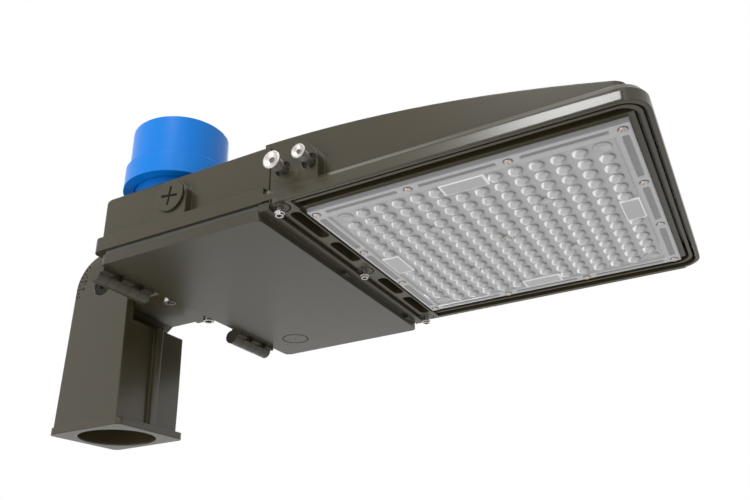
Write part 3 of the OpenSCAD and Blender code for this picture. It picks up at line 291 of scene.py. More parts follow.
def finish_material(name, group_name, rgb, inputs, sockets, bump, bump_distance, rounding=0.0):
    """A Principled material whose colour, roughness and bump come from one shared group."""
    mat = bpy.data.materials.new(name)
    mat.use_nodes = True
    tree = mat.node_tree
    shader = tree.nodes["Principled BSDF"]
    for key, value in sockets.items():
        shader.inputs[key].default_value = value
    coords = add(tree, "ShaderNodeTexCoord")
    effect = add(tree, "ShaderNodeGroup", node_tree=group_named(group_name))
    join(tree, coords.outputs["Object"], effect.inputs["Vector"])
    effect.inputs["Colour"].default_value = (*rgb, 1)
    for key, value in inputs.items():
        effect.inputs[key].default_value = value
    join(tree, effect.outputs["Colour"], shader.inputs["Base Color"])
    join(tree, effect.outputs["Roughness"], shader.inputs["Roughness"])
    relief = add(tree, "ShaderNodeBump", {"Strength": bump, "Distance": bump_distance})
    join(tree, effect.outputs["Height"], relief.inputs["Height"])
    if rounding > 0:
        soft = add(tree, "ShaderNodeBevel", {"Radius": rounding}, samples=4)
        join(tree, soft.outputs["Normal"], relief.inputs["Normal"])
    join(tree, relief.outputs["Normal"], shader.inputs["Normal"])
    mat.diffuse_color = (*rgb, 1)
    return mat


def coat_material(name, rgb, roughness, specular, sizes, rounding=0.0):
    """Powder coat in one colour."""
    return finish_material(name, "powder_coat", rgb, {"Grain": sizes.grain, "Drift": 0.05, "Roughness": roughness},
                           {"Specular IOR Level": specular}, 0.025, 0.2 * MM, rounding)


def metal_material(name, rgb, roughness, rounding=0.0, specular=None):
    """Turned metal in one colour. A specular level makes it a dull surface in place of bare metal."""
    sockets = {"Metallic": 1.0} if specular is None else {"Specular IOR Level": specular}
    return finish_material(name, "turned_metal", rgb, {"Roughness": roughness}, sockets, 0.05, 0.05 * MM, rounding)


def dress(node, material):
    """Gives a CAD node's object one material on every face."""
    slots = NODES[node].data.materials
    if len(slots) == 0:
        slots.append(material)
    for k in range(len(slots)):
        slots[k] = material


# ---------------------------------------------------------------- surfaces


def grid_faces(rows, columns, close_rows=False, close_columns=False):
    """Quads of a grid of rows by columns points, as one index array."""
    r = np.arange(rows if close_rows else rows - 1)
    c = np.arange(columns if close_columns else columns - 1)
    rr, cc = np.meshgrid(r, c, indexing="ij")
    r1, c1 = (rr + 1) % rows, (cc + 1) % columns
    corners = [rr * columns + cc, rr * columns + c1, r1 * columns + c1, r1 * columns + cc]
    return np.stack(corners, axis=-1).reshape(-1, 4)


def mesh_object(name, points, faces, body, material, slot, caps=(), place=None, angle=38):
    """An object at the origin from point and quad arrays. Points that meet are welded, which closes seams and poles.

    caps holds faces of more corners, and place an attribute of three numbers per point for the material.
    """
    mesh = bpy.data.meshes.new(name)
    mesh.from_pydata(points.tolist(), [], [tuple(row) for row in faces.tolist()] + [tuple(cap) for cap in caps])
    if place is not None:
        layer = mesh.attributes.new("lens_place", "FLOAT_VECTOR", "POINT")
        layer.data.foreach_set("vector", place.astype(np.float32).ravel())
    shell = bmesh.new()
    shell.from_mesh(mesh)
    bmesh.ops.remove_doubles(shell, verts=shell.verts, dist=1e-6)
    bmesh.ops.recalc_face_normals(shell, faces=shell.faces)
    shell.to_mesh(mesh)
    shell.free()
    mesh.update()
    mesh.polygons.foreach_set("use_smooth", np.ones(len(mesh.polygons), bool))
    mesh.set_sharp_from_angle(angle=math.radians(angle))
    mesh.materials.append(material)
    obj = bpy.data.objects.new(name, mesh)
    bpy.context.scene.collection.objects.link(obj)
    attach(obj, body)
    return obj


def revolve(profile, centre, axis, steps=32):
    """A closed profile of (radius, height) rows carried round an axis.

    point = centre + radius (cos t u + sin t v) + height axis
    """
    profile = np.asarray(profile, float)
    axis = np.asarray(axis, float) / np.linalg.norm(axis)
    helper = np.array([0.0, 0.0, 1.0]) if abs(axis[2]) < 0.9 else np.array([1.0, 0.0, 0.0])
    u = np.cross(helper, axis)
    u /= np.linalg.norm(u)
    v = np.cross(axis, u)
    t = np.arange(steps) * 2 * np.pi / steps
    ring = np.cos(t)[:, None] * u + np.sin(t)[:, None] * v
    points = centre + profile[:, None, :1] * ring[None] + profile[:, None, 1:] * axis
    faces = grid_faces(len(profile), steps, close_columns=True)
    return points.reshape(-1, 3), faces


def collect(parts):
    """Joins several point and face arrays into one."""
    points, faces, base = [], [], 0
    for p, f in parts:
        points.append(p)
        faces.append(f + base)
        base += len(p)
    return np.concatenate(points), np.concatenate(faces)


class LightPiece:
    """What every operator of this add-on shares."""

    bl_options = {"REGISTER", "UNDO"}

    @classmethod
    def poll(cls, context):
        return context.scene is not None


class AREALIGHT_OT_castings(LightPiece, Operator):
    """Powder coat for the fitter, arm, housing, door and plugs"""

    bl_idname = "arealight.castings"
    bl_label = "Castings"

    def execute(self, context):
        finish, sizes, _ = settings()
        coat = coat_material("bronze_coat", finish.coat, 0.28, 0.5, sizes, sizes.edge)
        # The door's coat is a darker copy of the castings' coat, painted shade of the underside.
        door = coat_material("bronze_door_coat", finish.shaded_door_coat, 0.34, 0.5, sizes, sizes.edge)
        fitter = coat_material("bronze_fitter_coat", finish.coat, 0.26, 0.6, sizes, sizes.fitter_edge)
        for node in ("tilt_arm", "housing", "side_plug"):
            dress(node, coat)
        dress("slip_fitter", fitter)
        for node in ("door", "sensor_plug"):
            dress(node, door)
        self.rim_bands(sizes, coat)
        # Painted shade for the line round the door's plug and the floor of the plus slot.
        shadow = coat_material("plug_line_shade", finish.recess_shade, 0.6, 0.1, sizes)
        self.plug_line(shadow)
        self.plug_cross(shadow)
        return {"FINISHED"}

    def plug_line(self, material):
        """Painted shadow line round the flat plug of the door, and the gate mark in its middle in the same dark: a flat
        ring and a flat disc.
        """
        low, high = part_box("sensor_plug")
        centre = np.array([(low[0] + high[0]) / 2, (low[1] + high[1]) / 2, low[2]])
        edge = (high[0] - low[0]) / 2
        inner, outer, dot, sunk, proud = edge - 0.4 * MM, edge + 0.3 * MM, 0.6 * MM, -0.3 * MM, 0.06 * MM
        ring = [(inner, sunk), (outer, sunk), (outer, proud), (inner, proud), (inner, sunk)]
        disc = [(0, sunk), (dot, sunk), (dot, proud), (0, proud)]
        parts = [revolve(ring, centre, DOWN, 48), revolve(disc, centre, DOWN, 10)]
        mesh_object("plug_line", *collect(parts), "door", material, "bronze_door_paint")

    def plug_cross(self, material):
        """Painted shade on the floor of the plus slot: the outline of a plus, turned by 8 degrees, between two depths.

        The reach is a share of the plug's width, and the arms are a little narrower than the slot.
        """
        low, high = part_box("side_plug")
        centre = np.array([(low[0] + high[0]) / 2, (low[2] + high[2]) / 2])
        reach, half = (high[0] - low[0]) * 0.306, 0.96 * MM
        quarter = np.array([[reach, -half], [reach, half], [half, half]])
        turns = np.radians([0, 90, 180, 270]) + math.radians(8)
        turn = np.stack([np.cos(turns), -np.sin(turns), np.sin(turns), np.cos(turns)], axis=-1).reshape(4, 2, 2)
        outline = np.einsum("kij,nj->kni", turn, quarter).reshape(-1, 2) * (1, -1) + centre
        depth = np.repeat(low[1] + np.array([0.50, 0.78]) * MM, len(outline))
        points = np.stack([np.tile(outline[:, 0], 2), depth, np.tile(outline[:, 1], 2)], axis=-1)
        caps = [list(range(12)), list(range(23, 11, -1))]
        mesh_object("plug_cross", points, grid_faces(2, 12, close_columns=True), "head", material, "bronze_paint",
                    caps=caps)

    def rim_bands(self, sizes, material):
        """Drafted face of the head's rim on both sides: a closed profile carried along the straight of the rim.

        out = draft (1 - height / band height). share holds (draft, height) rows of the profile, and grow and high
        say how the draft and the height of the band change along the run.
        """
        side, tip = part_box("housing")[1][1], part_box("housing")[1][0]
        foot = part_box("lens_panel")[1][2] - 0.0025
        share = np.array([[-0.3, 0.0], [1.0, 0.0], [0.5, 0.5], [0.06, 0.94], [-0.3, 1.0], [-3.5, 1.0]])
        run = np.array([0.228, 0.2284, 0.232, 0.250, 0.300, 0.350, 0.400, 0.425, tip - 0.0124, tip - 0.0114])
        grow = np.array([0.0, 0.02, 1, 1, 1, 1, 1, 1, 1, 0.02])
        high = 0.0076 - 0.0010 * np.array([0, 0, 0, 0, 0, 0, 0.2, 0.6, 1, 1])
        rows, steps = len(share), len(run)
        parts = []
        for turn in (1, -1):
            out = side + sizes.band_draft * np.where(share[:, :1] > 0, share[:, :1] * grow[None], share[:, :1])
            z = foot + share[:, 1:] * high[None]
            points = np.stack([run[None] + 0 * out, turn * out, z], axis=-1)
            parts.append((points.reshape(-1, 3), grid_faces(rows, steps, close_rows=True)))
        points, faces = collect(parts)
        ends = [[(k * rows + row) * steps + end for row in range(rows)] for k in (0, 1) for end in (0, steps - 1)]
        mesh_object("rim_bands", points, faces, "head", material, "bronze_paint", caps=ends, angle=6)


class AREALIGHT_OT_index_marks(LightPiece, Operator):
    """Degree scale on the round of the cheek: short ticks along its edge and plain numbers beside them, dark as painted
    shade of sunk marks
    """

    bl_idname = "arealight.index_marks"
    bl_label = "Index marks"

    def execute(self, context):
        finish, sizes, _ = settings()
        # The ticks and numbers are painted shade: dark pieces where sunk marks would hold shade.
        mat = coat_material("index_mark_shade", finish.recess_shade, 0.6, 0.1, sizes)
        low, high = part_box("pivot_bolt")
        self.centre = ((low[0] + high[0]) / 2, (low[2] + high[2]) / 2)
        parts = [self.tick(math.radians(angle), TICK_SHORT if k % 2 else TICK_LONG)
                 for k, angle in enumerate(np.arange(131.5, 192, 7.5))]
        mesh_object("index_ticks", *collect(parts), "fitter", mat, "bronze_paint")
        for angle, text in ((131.5, "45"), (146.5, "30"), (161.5, "15"), (176.5, "0")):
            self.number(math.radians(angle), text, mat)
        return {"FINISHED"}

    def tick(self, angle, inner):
        """A thin bar from radius inner to the edge: its corners are centre + radius (cos, sin) +- half its width."""
        out = np.array([math.cos(angle), math.sin(angle)])
        side = np.array([-out[1], out[0]]) * TICK_HALF
        radius = np.array([inner, inner, TICK_EDGE, TICK_EDGE])[:, None]
        turn = np.array([-1, 1, 1, -1])[:, None]
        x, z = (np.array(self.centre) + radius * out + turn * side).T
        depth = np.repeat([SCALE_FACE + 0.2 * MM, SCALE_FACE - 0.08 * MM], 4)
        faces = np.array([[0, 1, 2, 3], [7, 6, 5, 4], [0, 4, 5, 1], [1, 5, 6, 2], [2, 6, 7, 3], [3, 7, 4, 0]])
        return np.stack([np.tile(x, 2), depth, np.tile(z, 2)], axis=-1), faces

    def number(self, angle, text, material):
        """A number that stands on the circle with its head outwards, made a mesh before it is put in place."""
        curve = bpy.data.curves.new("digits_" + text, "FONT")
        curve.body, curve.size, curve.extrude, curve.offset = text, DIGIT_SIZE, 0.08 * MM, 0.10 * MM
        curve.align_x, curve.align_y = "CENTER", "CENTER"
        letter = bpy.data.objects.new("digits_" + text, curve)
        bpy.context.scene.collection.objects.link(letter)
        bpy.context.view_layer.update()
        mesh = bpy.data.meshes.new_from_object(letter.evaluated_get(bpy.context.evaluated_depsgraph_get()))
        bpy.data.objects.remove(letter)
        turn = angle - math.pi / 2
        right, up = (math.cos(turn), 0, math.sin(turn)), (-math.sin(turn), 0, math.cos(turn))
        place = (self.centre[0] + DIGIT_RADIUS * math.cos(angle), SCALE_FACE,
                 self.centre[1] + DIGIT_RADIUS * math.sin(angle))
        mesh.transform(Matrix.Translation(place) @ Matrix((right, up, (0, -1, 0))).transposed().to_4x4())
        mesh.materials.clear()
        mesh.materials.append(material)
        piece = bpy.data.objects.new("digits_" + text, mesh)
        bpy.context.scene.collection.objects.link(piece)
        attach(piece, "fitter")


class AREALIGHT_OT_hardware(LightPiece, Operator):
    """Steel for the screws, bolts, pins and the toothed ring"""

    bl_idname = "arealight.hardware"
    bl_label = "Hardware"

    def execute(self, context):
        finish, sizes, _ = settings()
        fine_edge = sizes.edge * 0.3
        steel = metal_material("stainless_steel", finish.steel, 0.16, fine_edge)
        dark = metal_material("blackened_steel", finish.dark_steel, 0.5, fine_edge, specular=0.15)
        for node in ("tenon_screws", "pivot_nut", "arm_screws", "side_bolts", "lens_screws", "door_screw_near",
                     "door_screw_middle", "door_screw_far", "driver_screws", "hinge_pins", "tilt_ring"):
            dress(node, steel)
        dress("pivot_bolt", dark)
        seats = self.bolts(metal_material("side_bolt_steel", finish.steel, 0.34, fine_edge))
        # Dark discs in the side bolts' sockets: painted shade of the socket floors.
        floors = [self.socket_shade_disc(seat, axis, 1.90 * share, -1.7) for seat, axis, share in seats]
        shade = metal_material("socket_shade", finish.socket_shade, 0.5, specular=0.2)
        mesh_object("side_bolt_socket_shade", *collect(floors), "head", shade, "stainless")
        self.door_screws(steel, dark)
        dress("cap_contacts", metal_material("contact_brass", finish.brass, 0.2))
        return {"FINISHED"}

    def bolts(self, steel):
        """Side bolts with a dished face, a rim, a flare and a thick neck: a profile of (radius, depth) for each.

        The second bolt of each side has 0.8 of the radii, as the photograph shows it.
        """
        low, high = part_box("side_bolts")
        radius = 6.1 * MM
        face = np.array([(0, -2.6), (2.0, -2.6), (2.0, -1.3), (4.1, -0.55), (4.9, -0.05), (5.6, 0), (6.1, -0.4),
                         (6.1, -1.1), (5.0, -2.6), (4.2, -3.6), (4.2, -8.2), (3.2, -9.4), (2.7, -9.6), (2.7, -22.5),
                         (0, -22.5)]) * MM
        up = (low[2] + high[2]) / 2
        places = [(np.array([along, wall, up]), (0, side, 0), share) for side, wall in ((-1, low[1]), (1, high[1]))
                  for along, share in ((low[0] + radius, 1.0), (high[0] - radius, 0.80))]
        parts = [revolve(face * (share, 1.0), seat, axis, 36) for seat, axis, share in places]
        piece = mesh_object("side_bolt_forms", *collect(parts), "head", steel, "stainless", angle=25)
        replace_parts(piece, "side_bolts")
        return places

    def door_screws(self, steel, dark):
        """Door screws with a socket, a step and a flange: a profile of (radius, depth), and a dark disc in the socket
        as painted shade of its floor.
        """
        for row in ("near", "middle", "far"):
            node, body = "door_screw_" + row, "screw_" + row
            low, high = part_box(node)
            long = (high[2] - low[2]) / MM
            head = np.array([(0, -1.9), (1.75, -1.9), (1.75, -0.15), (1.95, 0), (2.6, 0), (2.85, -0.3), (2.85, -1.5),
                             (3.44, -1.8), (3.44, -2.5), (2.1, -2.6), (2.1, -long), (0, -long)]) * MM
            centre = np.array([(low[0] + high[0]) / 2, (low[1] + high[1]) / 2, low[2]])
            piece = mesh_object("door_screw_form_" + row, *revolve(head, centre, DOWN, 28), body, steel, "stainless",
                                angle=25)
            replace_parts(piece, node)
            # Dark disc in the screw's socket: painted shade of its floor.
            disc = self.socket_shade_disc(centre, DOWN, 1.70, -0.7)
            mesh_object("door_socket_shade_" + row, *disc, body, dark, "dark_bolt")

    def socket_shade_disc(self, centre, axis, radius, depth):
        """A flat dark disc across a socket, painted shade of its floor: radius and depth in millimetres."""
        disc = np.array([(0, depth - 0.3), (radius, depth - 0.3), (radius, depth), (0, depth)]) * MM
        return revolve(disc, centre, axis, 20)


class AREALIGHT_OT_photocell(LightPiece, Operator):
    """Blue plastic for the photocell cap and its receptacle"""

    bl_idname = "arealight.photocell"
    bl_label = "Photocell"

    def execute(self, context):
        finish, sizes, _ = settings()
        for node, name, rgb, roughness, specular in (
                ("photocell_cap", "cap_blue_plastic", finish.cap_blue, 0.30, 0.28),
                ("receptacle", "socket_blue_plastic", finish.socket_blue, 0.38, 0.30)):
            mat = finish_material(name, "moulded_plastic", rgb, {"Cloud": 0.04, "Roughness": roughness, "Scale": 260.0},
                                  {"Specular IOR Level": specular}, 0.02, 0.2 * MM, sizes.edge * 0.6)
            dress(node, mat)
        return {"FINISHED"}


class AREALIGHT_OT_inner(LightPiece, Operator):
    """Finishes of the seals and of the parts inside"""

    bl_idname = "arealight.inner"
    bl_label = "Inner parts"

    def execute(self, context):
        finish, sizes, _ = settings()
        rows = {
            # material: (colour, cloudiness, roughness, nodes)
            "seal_rubber": (finish.seal, 0.2, 0.6, ("lead_gland", "lens_gasket", "plug_seal", "receptacle_seal")),
            "door_seal_rubber": ((0.13, 0.128, 0.118), 0.2, 0.55, ("door_gasket",)),
            "driver_metal": ((0.62, 0.62, 0.61), 0.08, 0.35, ("driver",)),
            "surge_plastic": ((0.014, 0.014, 0.016), 0.15, 0.4, ("surge_protector",)),
            "cream_plastic": ((0.74, 0.70, 0.60), 0.08, 0.4, ("terminal_block", "board_connector", "receptacle_nut")),
            "board_mask": ((0.80, 0.80, 0.78), 0.05, 0.35, ("led_board",)),
            "phosphor_gel": (finish.phosphor, 0.1, 0.3, ("leds",)),
        }
        for name, (rgb, cloud, roughness, members) in rows.items():
            mat = finish_material(name, "moulded_plastic", rgb,
                                  {"Cloud": cloud, "Roughness": roughness, "Scale": 220.0},
                                  {"Metallic": 0.9 if name == "driver_metal" else 0.0}, 0.06, 0.2 * MM)
            for node in members:
                dress(node, mat)
        return {"FINISHED"}


def smooth_step(low, high, value):
    """0 below low, 1 above high, and 3 t^2 - 2 t^3 between them."""
    t = np.clip((value - low) / (high - low), 0, 1)
    return t * t * (3 - 2 * t)


def round_bar(u, v, long, wide, radius):
    """Signed distance from a bar with round ends: below zero inside it."""
    qu, qv = np.abs(u) - long / 2 + radius, np.abs(v) - wide / 2 + radius
    return np.hypot(np.maximum(qu, 0), np.maximum(qv, 0)) + np.minimum(np.maximum(qu, qv), 0) - radius


def frame_places(x, y):
    """Places on a square frame: out from its middle, and along its nearest side."""
    return np.maximum(np.abs(x), np.abs(y)), np.where(np.abs(x) > np.abs(y), y, x)


def slot_distances(out, along, half, sizes):
    """Signed distances from the slots of the frame, which lie between its screws."""
    row, side = half - sizes.screw_edge, SCREW_SIDE * half
    return [round_bar(np.abs(along) - middle, out - row, reach - SLOT_SHORT, SLOT_WIDE, SLOT_ROUND)
            for middle, reach in ((0.0, 2 * side), (0.5 * (row + side), row - side))]


def plate_distance(out, along, half, sizes):
    """Signed distance from the plain plates, one in the middle of each side."""
    return round_bar(along, out - (half - sizes.frame_wide) + PLATE_IN, PLATE_LONG, PLATE_WIDE, PLATE_ROUND)


def sheet_height(x, y, half, sizes):
    """Height over the sheet's floor: frame and ridge, less the slots, or a plain plate where that is higher."""
    out, along = frame_places(x, y)
    inner = half - sizes.frame_wide
    height = sizes.frame_high * smooth_step(inner - 0.3 * MM, inner + 0.5 * MM, out)
    height += 0.4 * MM * np.exp(-((out - inner - 0.7 * MM) / (0.5 * MM)) ** 2)
    for bar in slot_distances(out, along, half, sizes):
        height -= SLOT_DEEP * smooth_step(0.3 * MM, -0.4 * MM, bar)
    plate = plate_distance(out, along, half, sizes)
    height = np.maximum(height, sizes.plate_high * smooth_step(0.2 * MM, -0.8 * MM, plate))
    return height - 0.6 * MM * smooth_step(half - 0.7 * MM, half, out)


def sheet_masks(x, y, half, sizes):
    """Rows of three numbers from 0 to 1: the painted highlight along the plain plates' bevelled edges, the raised
    frame, and the slots.
    """
    out, along = frame_places(x, y)
    inner = half - sizes.frame_wide
    plate_bevel_highlight = np.exp(-((plate_distance(out, along, half, sizes) + 0.8 * MM) / (0.45 * MM)) ** 2)
    frame_mask = smooth_step(inner - 0.3 * MM, inner + 0.5 * MM, out)
    slots = np.maximum(*[smooth_step(0.1 * MM, -0.5 * MM, bar) for bar in slot_distances(out, along, half, sizes)])
    return np.stack([plate_bevel_highlight, frame_mask, slots], axis=-1).reshape(-1, 3)


def sheet_lines(half, sizes):
    """Places of the sheet's grid lines: even ones, and close ones beside every edge of its relief."""
    inner, row, side = half - sizes.frame_wide, half - sizes.screw_edge, SCREW_SIDE * half
    marks = [inner, row - SLOT_WIDE / 2, row + SLOT_WIDE / 2, half - 0.4 * MM, inner - 12.6 * MM, PLATE_LONG / 2,
             side - SLOT_SHORT / 2, side + SLOT_SHORT / 2, row - SLOT_SHORT / 2]
    close = np.concatenate([mark + np.linspace(-1.0, 1.0, 7) * MM for mark in marks])
    lines = np.concatenate([np.linspace(0, half, 34), close[(close > 0) & (close < half)]])
    lines = np.unique(np.round(lines, 5))
    return np.concatenate([-lines[:0:-1], lines])


class AREALIGHT_OT_lens_sheet(LightPiece, Operator):
    """Moulded lens sheet with its frame, slots, plates and pads, a free-form lens over each source, and its screws"""

    bl_idname = "arealight.lens_sheet"
    bl_label = "Lens sheet"

    def execute(self, context):
        finish, sizes, _ = settings()
        low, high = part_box("lens_panel")
        self.middle = np.array([(low[0] + high[0]) / 2, (low[1] + high[1]) / 2])
        self.half = (high[0] - low[0]) / 2
        self.top = high[2]
        self.floor = high[2] - sizes.sheet_thick
        gloss = {"Specular IOR Level": 0.6, "Coat Weight": 0.3, "Coat Roughness": 0.05}
        clear, pad, well = (
            finish_material(name, "moulded_plastic", rgb, {"Cloud": 0.10, "Roughness": roughness, "Scale": 90.0},
                            sockets, 0.05, 0.3 * MM)
            for name, rgb, roughness, sockets in (("clear_sheet_plastic", finish.lens_tint, 0.16, gloss),
                                                  ("clear_pad_plastic", finish.lens_frame, 0.12, gloss),
                                                  ("well_plastic", finish.well_shade, 0.3, {})))
        zero = (0.0, 0.0, 0.0)
        # The X row paints a highlight along the plain plates' bevelled edges.
        self.lay_colours(clear, [("Y", zero, 0.0, 1.0, finish.lens_frame, False),
                                 ("Z", zero, 0.0, 1.0, finish.lens_slot, False),
                                 ("X", zero, 0.0, 1.0, finish.plate_edge_highlight, False)])
        dress("lens_panel", clear)
        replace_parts(self.sheet(sizes, clear), "lens_panel")
        self.pads(sizes, pad)
        self.wells(sizes, well)
        self.lenses(sizes, self.lens_material(finish))
        self.screws(sizes, finish)
        return {"FINISHED"}

    def place(self, x, y, z):
        """Points from places about the sheet's middle."""
        return np.stack([x + self.middle[0], y + self.middle[1], z + 0 * x], axis=-1).reshape(-1, 3)

    def spot(self, x, y, z):
        """One point from a place about the sheet's middle."""
        return self.place(np.array(x), np.array(y), z)[0]

    def sheet(self, sizes, material):
        """Plate with z = floor - height(x, y) below, upright sides and a flat top."""
        lines = sheet_lines(self.half, sizes)
        x, y = np.meshgrid(lines, lines, indexing="ij")
        count = len(lines)
        below = self.place(x, y, self.floor - sheet_height(x, y, self.half, sizes))
        masks = sheet_masks(x, y, self.half, sizes)
        index = np.arange(count * count).reshape(count, count)
        rim = np.concatenate([index[0, :-1], index[:-1, -1], index[-1, :0:-1], index[:0:-1, 0]])
        above = below[rim].copy()
        above[:, 2] = self.top
        ring = count * count + np.arange(len(rim))
        walls = np.stack([rim, np.roll(rim, -1), np.roll(ring, -1), ring], axis=-1)
        faces = np.concatenate([grid_faces(count, count), walls])
        return mesh_object("lens_sheet", np.concatenate([below, above]), faces, "head", material, "clear_lens",
                           caps=[ring.tolist()], place=np.concatenate([masks, 0 * above]), angle=50)

    def pads(self, sizes, material):
        """Round pads in the four corners and about the inner screws: low discs with a ring round their edge."""
        grid = (LENS_ROWS - 1) / 2 * sizes.lens_pitch
        corner = np.array([(0, -0.4), (5.2, -0.4), (5.2, 0.6), (4.8, 1.0), (4.2, 1.0), (3.8, 0.6), (0, 0.6)]) * MM
        inner = np.array([(0, -0.4), (4.2, -0.4), (4.2, 1.1), (3.8, 1.5), (3.0, 1.5), (2.7, 1.1), (0, 1.1)]) * MM
        corners = [(sx * grid, sy * grid) for sx in (1, -1) for sy in (1, -1)]
        parts = [revolve(corner, self.spot(x, y, self.floor), DOWN, 28) for x, y in corners]
        parts += [revolve(inner, self.spot(x, y, self.floor), DOWN, 24) for x, y in self.inner_places(sizes)]
        mesh_object("lens_pads", *collect(parts), "head", material, "clear_lens", angle=50)

    def wells(self, sizes, material):
        """Shadowed seats of the screws: flat discs a little wider than the heads."""
        disc = np.array([(0, -0.3), (3.0, -0.3), (3.0, 0.1), (2.8, 0.18), (0, 0.18)]) * MM
        seat = self.floor - sizes.frame_high
        parts = [revolve(disc, self.spot(x, y, seat), DOWN, 20) for x, y in self.edge_places(sizes)]
        mesh_object("lens_screw_wells", *collect(parts), "head", material, "clear_lens", angle=50)

    def inner_places(self, sizes):
        """The middle screw and the four round it, three pitches out."""
        step = 3 * sizes.lens_pitch
        return [(0.0, 0.0), (step, step), (step, -step), (-step, step), (-step, -step)]

    def edge_places(self, sizes):
        """Twelve screws in the frame: the corners and two along each side."""
        row, side = self.half - sizes.screw_edge, SCREW_SIDE * self.half
        places = [(sx * row, sy * row) for sx in (1, -1) for sy in (1, -1)]
        places += [(sx * row, sy * side) for sx in (1, -1) for sy in (1, -1)]
        return places + [(sx * side, sy * row) for sx in (1, -1) for sy in (1, -1)]

    def lenses(self, sizes, material):
        """Lenses as one shape at every place but those of the pads and plates.

        x = a sin s cos t + lean, y = b sin s sin t, height = h cos(s)^0.8, and the lean grows with the height.
        """
        turns, rings = 12, np.radians([90, 66, 42, 19])
        s, t = np.meshgrid(rings, np.arange(turns) * 2 * np.pi / turns, indexing="ij")
        across = np.stack([np.sin(s) * np.cos(t), np.sin(s) * np.sin(t)], axis=-1).reshape(-1, 2)
        rise = (np.cos(s) ** 0.8).ravel()
        rise[:turns] = -0.12
        across = np.concatenate([[[0, 0]], across, [[0, 0]]])
        rise = np.concatenate([[-0.12], rise, [1.0]])
        lean = 0.7 * MM * np.clip(rise, 0, 1)
        shape = np.stack([sizes.lens_long * across[:, 0] + lean, sizes.lens_wide * across[:, 1],
                          -sizes.lens_height * rise], axis=-1)
        k = np.arange(turns)
        fan = np.stack([0 * k, 1 + (k + 1) % turns, 1 + k], axis=-1)
        last = 1 + (len(rings) - 1) * turns
        tip = np.stack([0 * k + last + turns, last + k, last + (k + 1) % turns], axis=-1)
        bands = grid_faces(len(rings), turns, close_columns=True) + 1
        steps = np.arange(LENS_ROWS) - (LENS_ROWS - 1) / 2
        i, j = np.meshgrid(steps, steps, indexing="ij")
        far, near = np.maximum(abs(i), abs(j)), np.minimum(abs(i), abs(j))
        keep = ~((far > 6) & ((near > 6) | (near < 1)))
        seats = self.place(i[keep] * sizes.lens_pitch, j[keep] * sizes.lens_pitch, self.floor)
        points = (seats[:, None] + shape[None]).reshape(-1, 3)
        base = (np.arange(len(seats)) * len(shape))[:, None, None]
        quads = (bands[None] + base).reshape(-1, 4)
        caps = np.concatenate([fan, tip])
        caps = (caps[None] + base).reshape(-1, 3).tolist()
        place = np.tile(np.concatenate([across, rise[:, None]], axis=1), (len(seats), 1))
        mesh_object("lens_domes", points, quads, "head", material, "clear_lens", caps=caps, place=place, angle=80)

    def lens_material(self, finish):
        """Clear plastic with a painted highlight on each lens's wall on the pole side, a painted shade line at the foot
        opposite it, and the source behind.
        """
        mat = finish_material("clear_lens_plastic", "moulded_plastic", finish.lens_ring,
                              {"Cloud": 0.06, "Roughness": 0.06, "Scale": 160.0},
                              {"Specular IOR Level": 0.7, "Coat Weight": 0.6, "Coat Roughness": 0.02}, 0.02, 0.2 * MM)
        # Painted highlight on each lens's pole-side wall.
        self.lay_colours(mat, [("XY", (0.60, 0.0, 0.0), 1.22, 1.36, finish.lens_wall_highlight, False),
                               # Painted shade: a dark line at the foot of each lens, away from the pole.
                               ("XY", (-0.10, 0.0, 0.0), 0.97, 1.03, finish.lens_shade, False),
                               ("XY", (0.60, 0.0, 0.0), 0.38, 0.46, finish.lens_pupil, True)])
        return mat

    def lay_colours(self, mat, rows):
        """Lays colours over a material by the distance of the lens_place attribute from a centre.

        A row holds the axes that count, the centre, the two distances that the colour fades between, the colour, and
        whether it lies inside them.
        """
        tree = mat.node_tree
        shader = tree.nodes["Principled BSDF"]
        source = shader.inputs["Base Color"].links[0].from_socket
        where = add(tree, "ShaderNodeAttribute", attribute_name="lens_place")
        for axes, centre, near, far, rgb, inside in rows:
            counted = tuple(float(axis in axes) for axis in "XYZ")
            keep = add(tree, "ShaderNodeVectorMath", {1: counted}, operation="MULTIPLY")
            join(tree, where.outputs["Vector"], keep.inputs[0])
            reach = add(tree, "ShaderNodeVectorMath", {1: centre}, operation="DISTANCE")
            join(tree, keep.outputs[0], reach.inputs[0])
            mask = add(tree, "ShaderNodeMapRange", {"From Min": near, "From Max": far, "To Min": float(inside),
                                                    "To Max": float(not inside)}, interpolation_type="SMOOTHSTEP")
            join(tree, reach.outputs["Value"], mask.inputs["Value"])
            blend = add(tree, "ShaderNodeMix", {7: (*rgb, 1)}, data_type="RGBA")
            join(tree, mask.outputs["Result"], blend.inputs[0])
            join(tree, source, blend.inputs[6])
            source = blend.outputs[2]
        join(tree, source, shader.inputs["Base Color"])

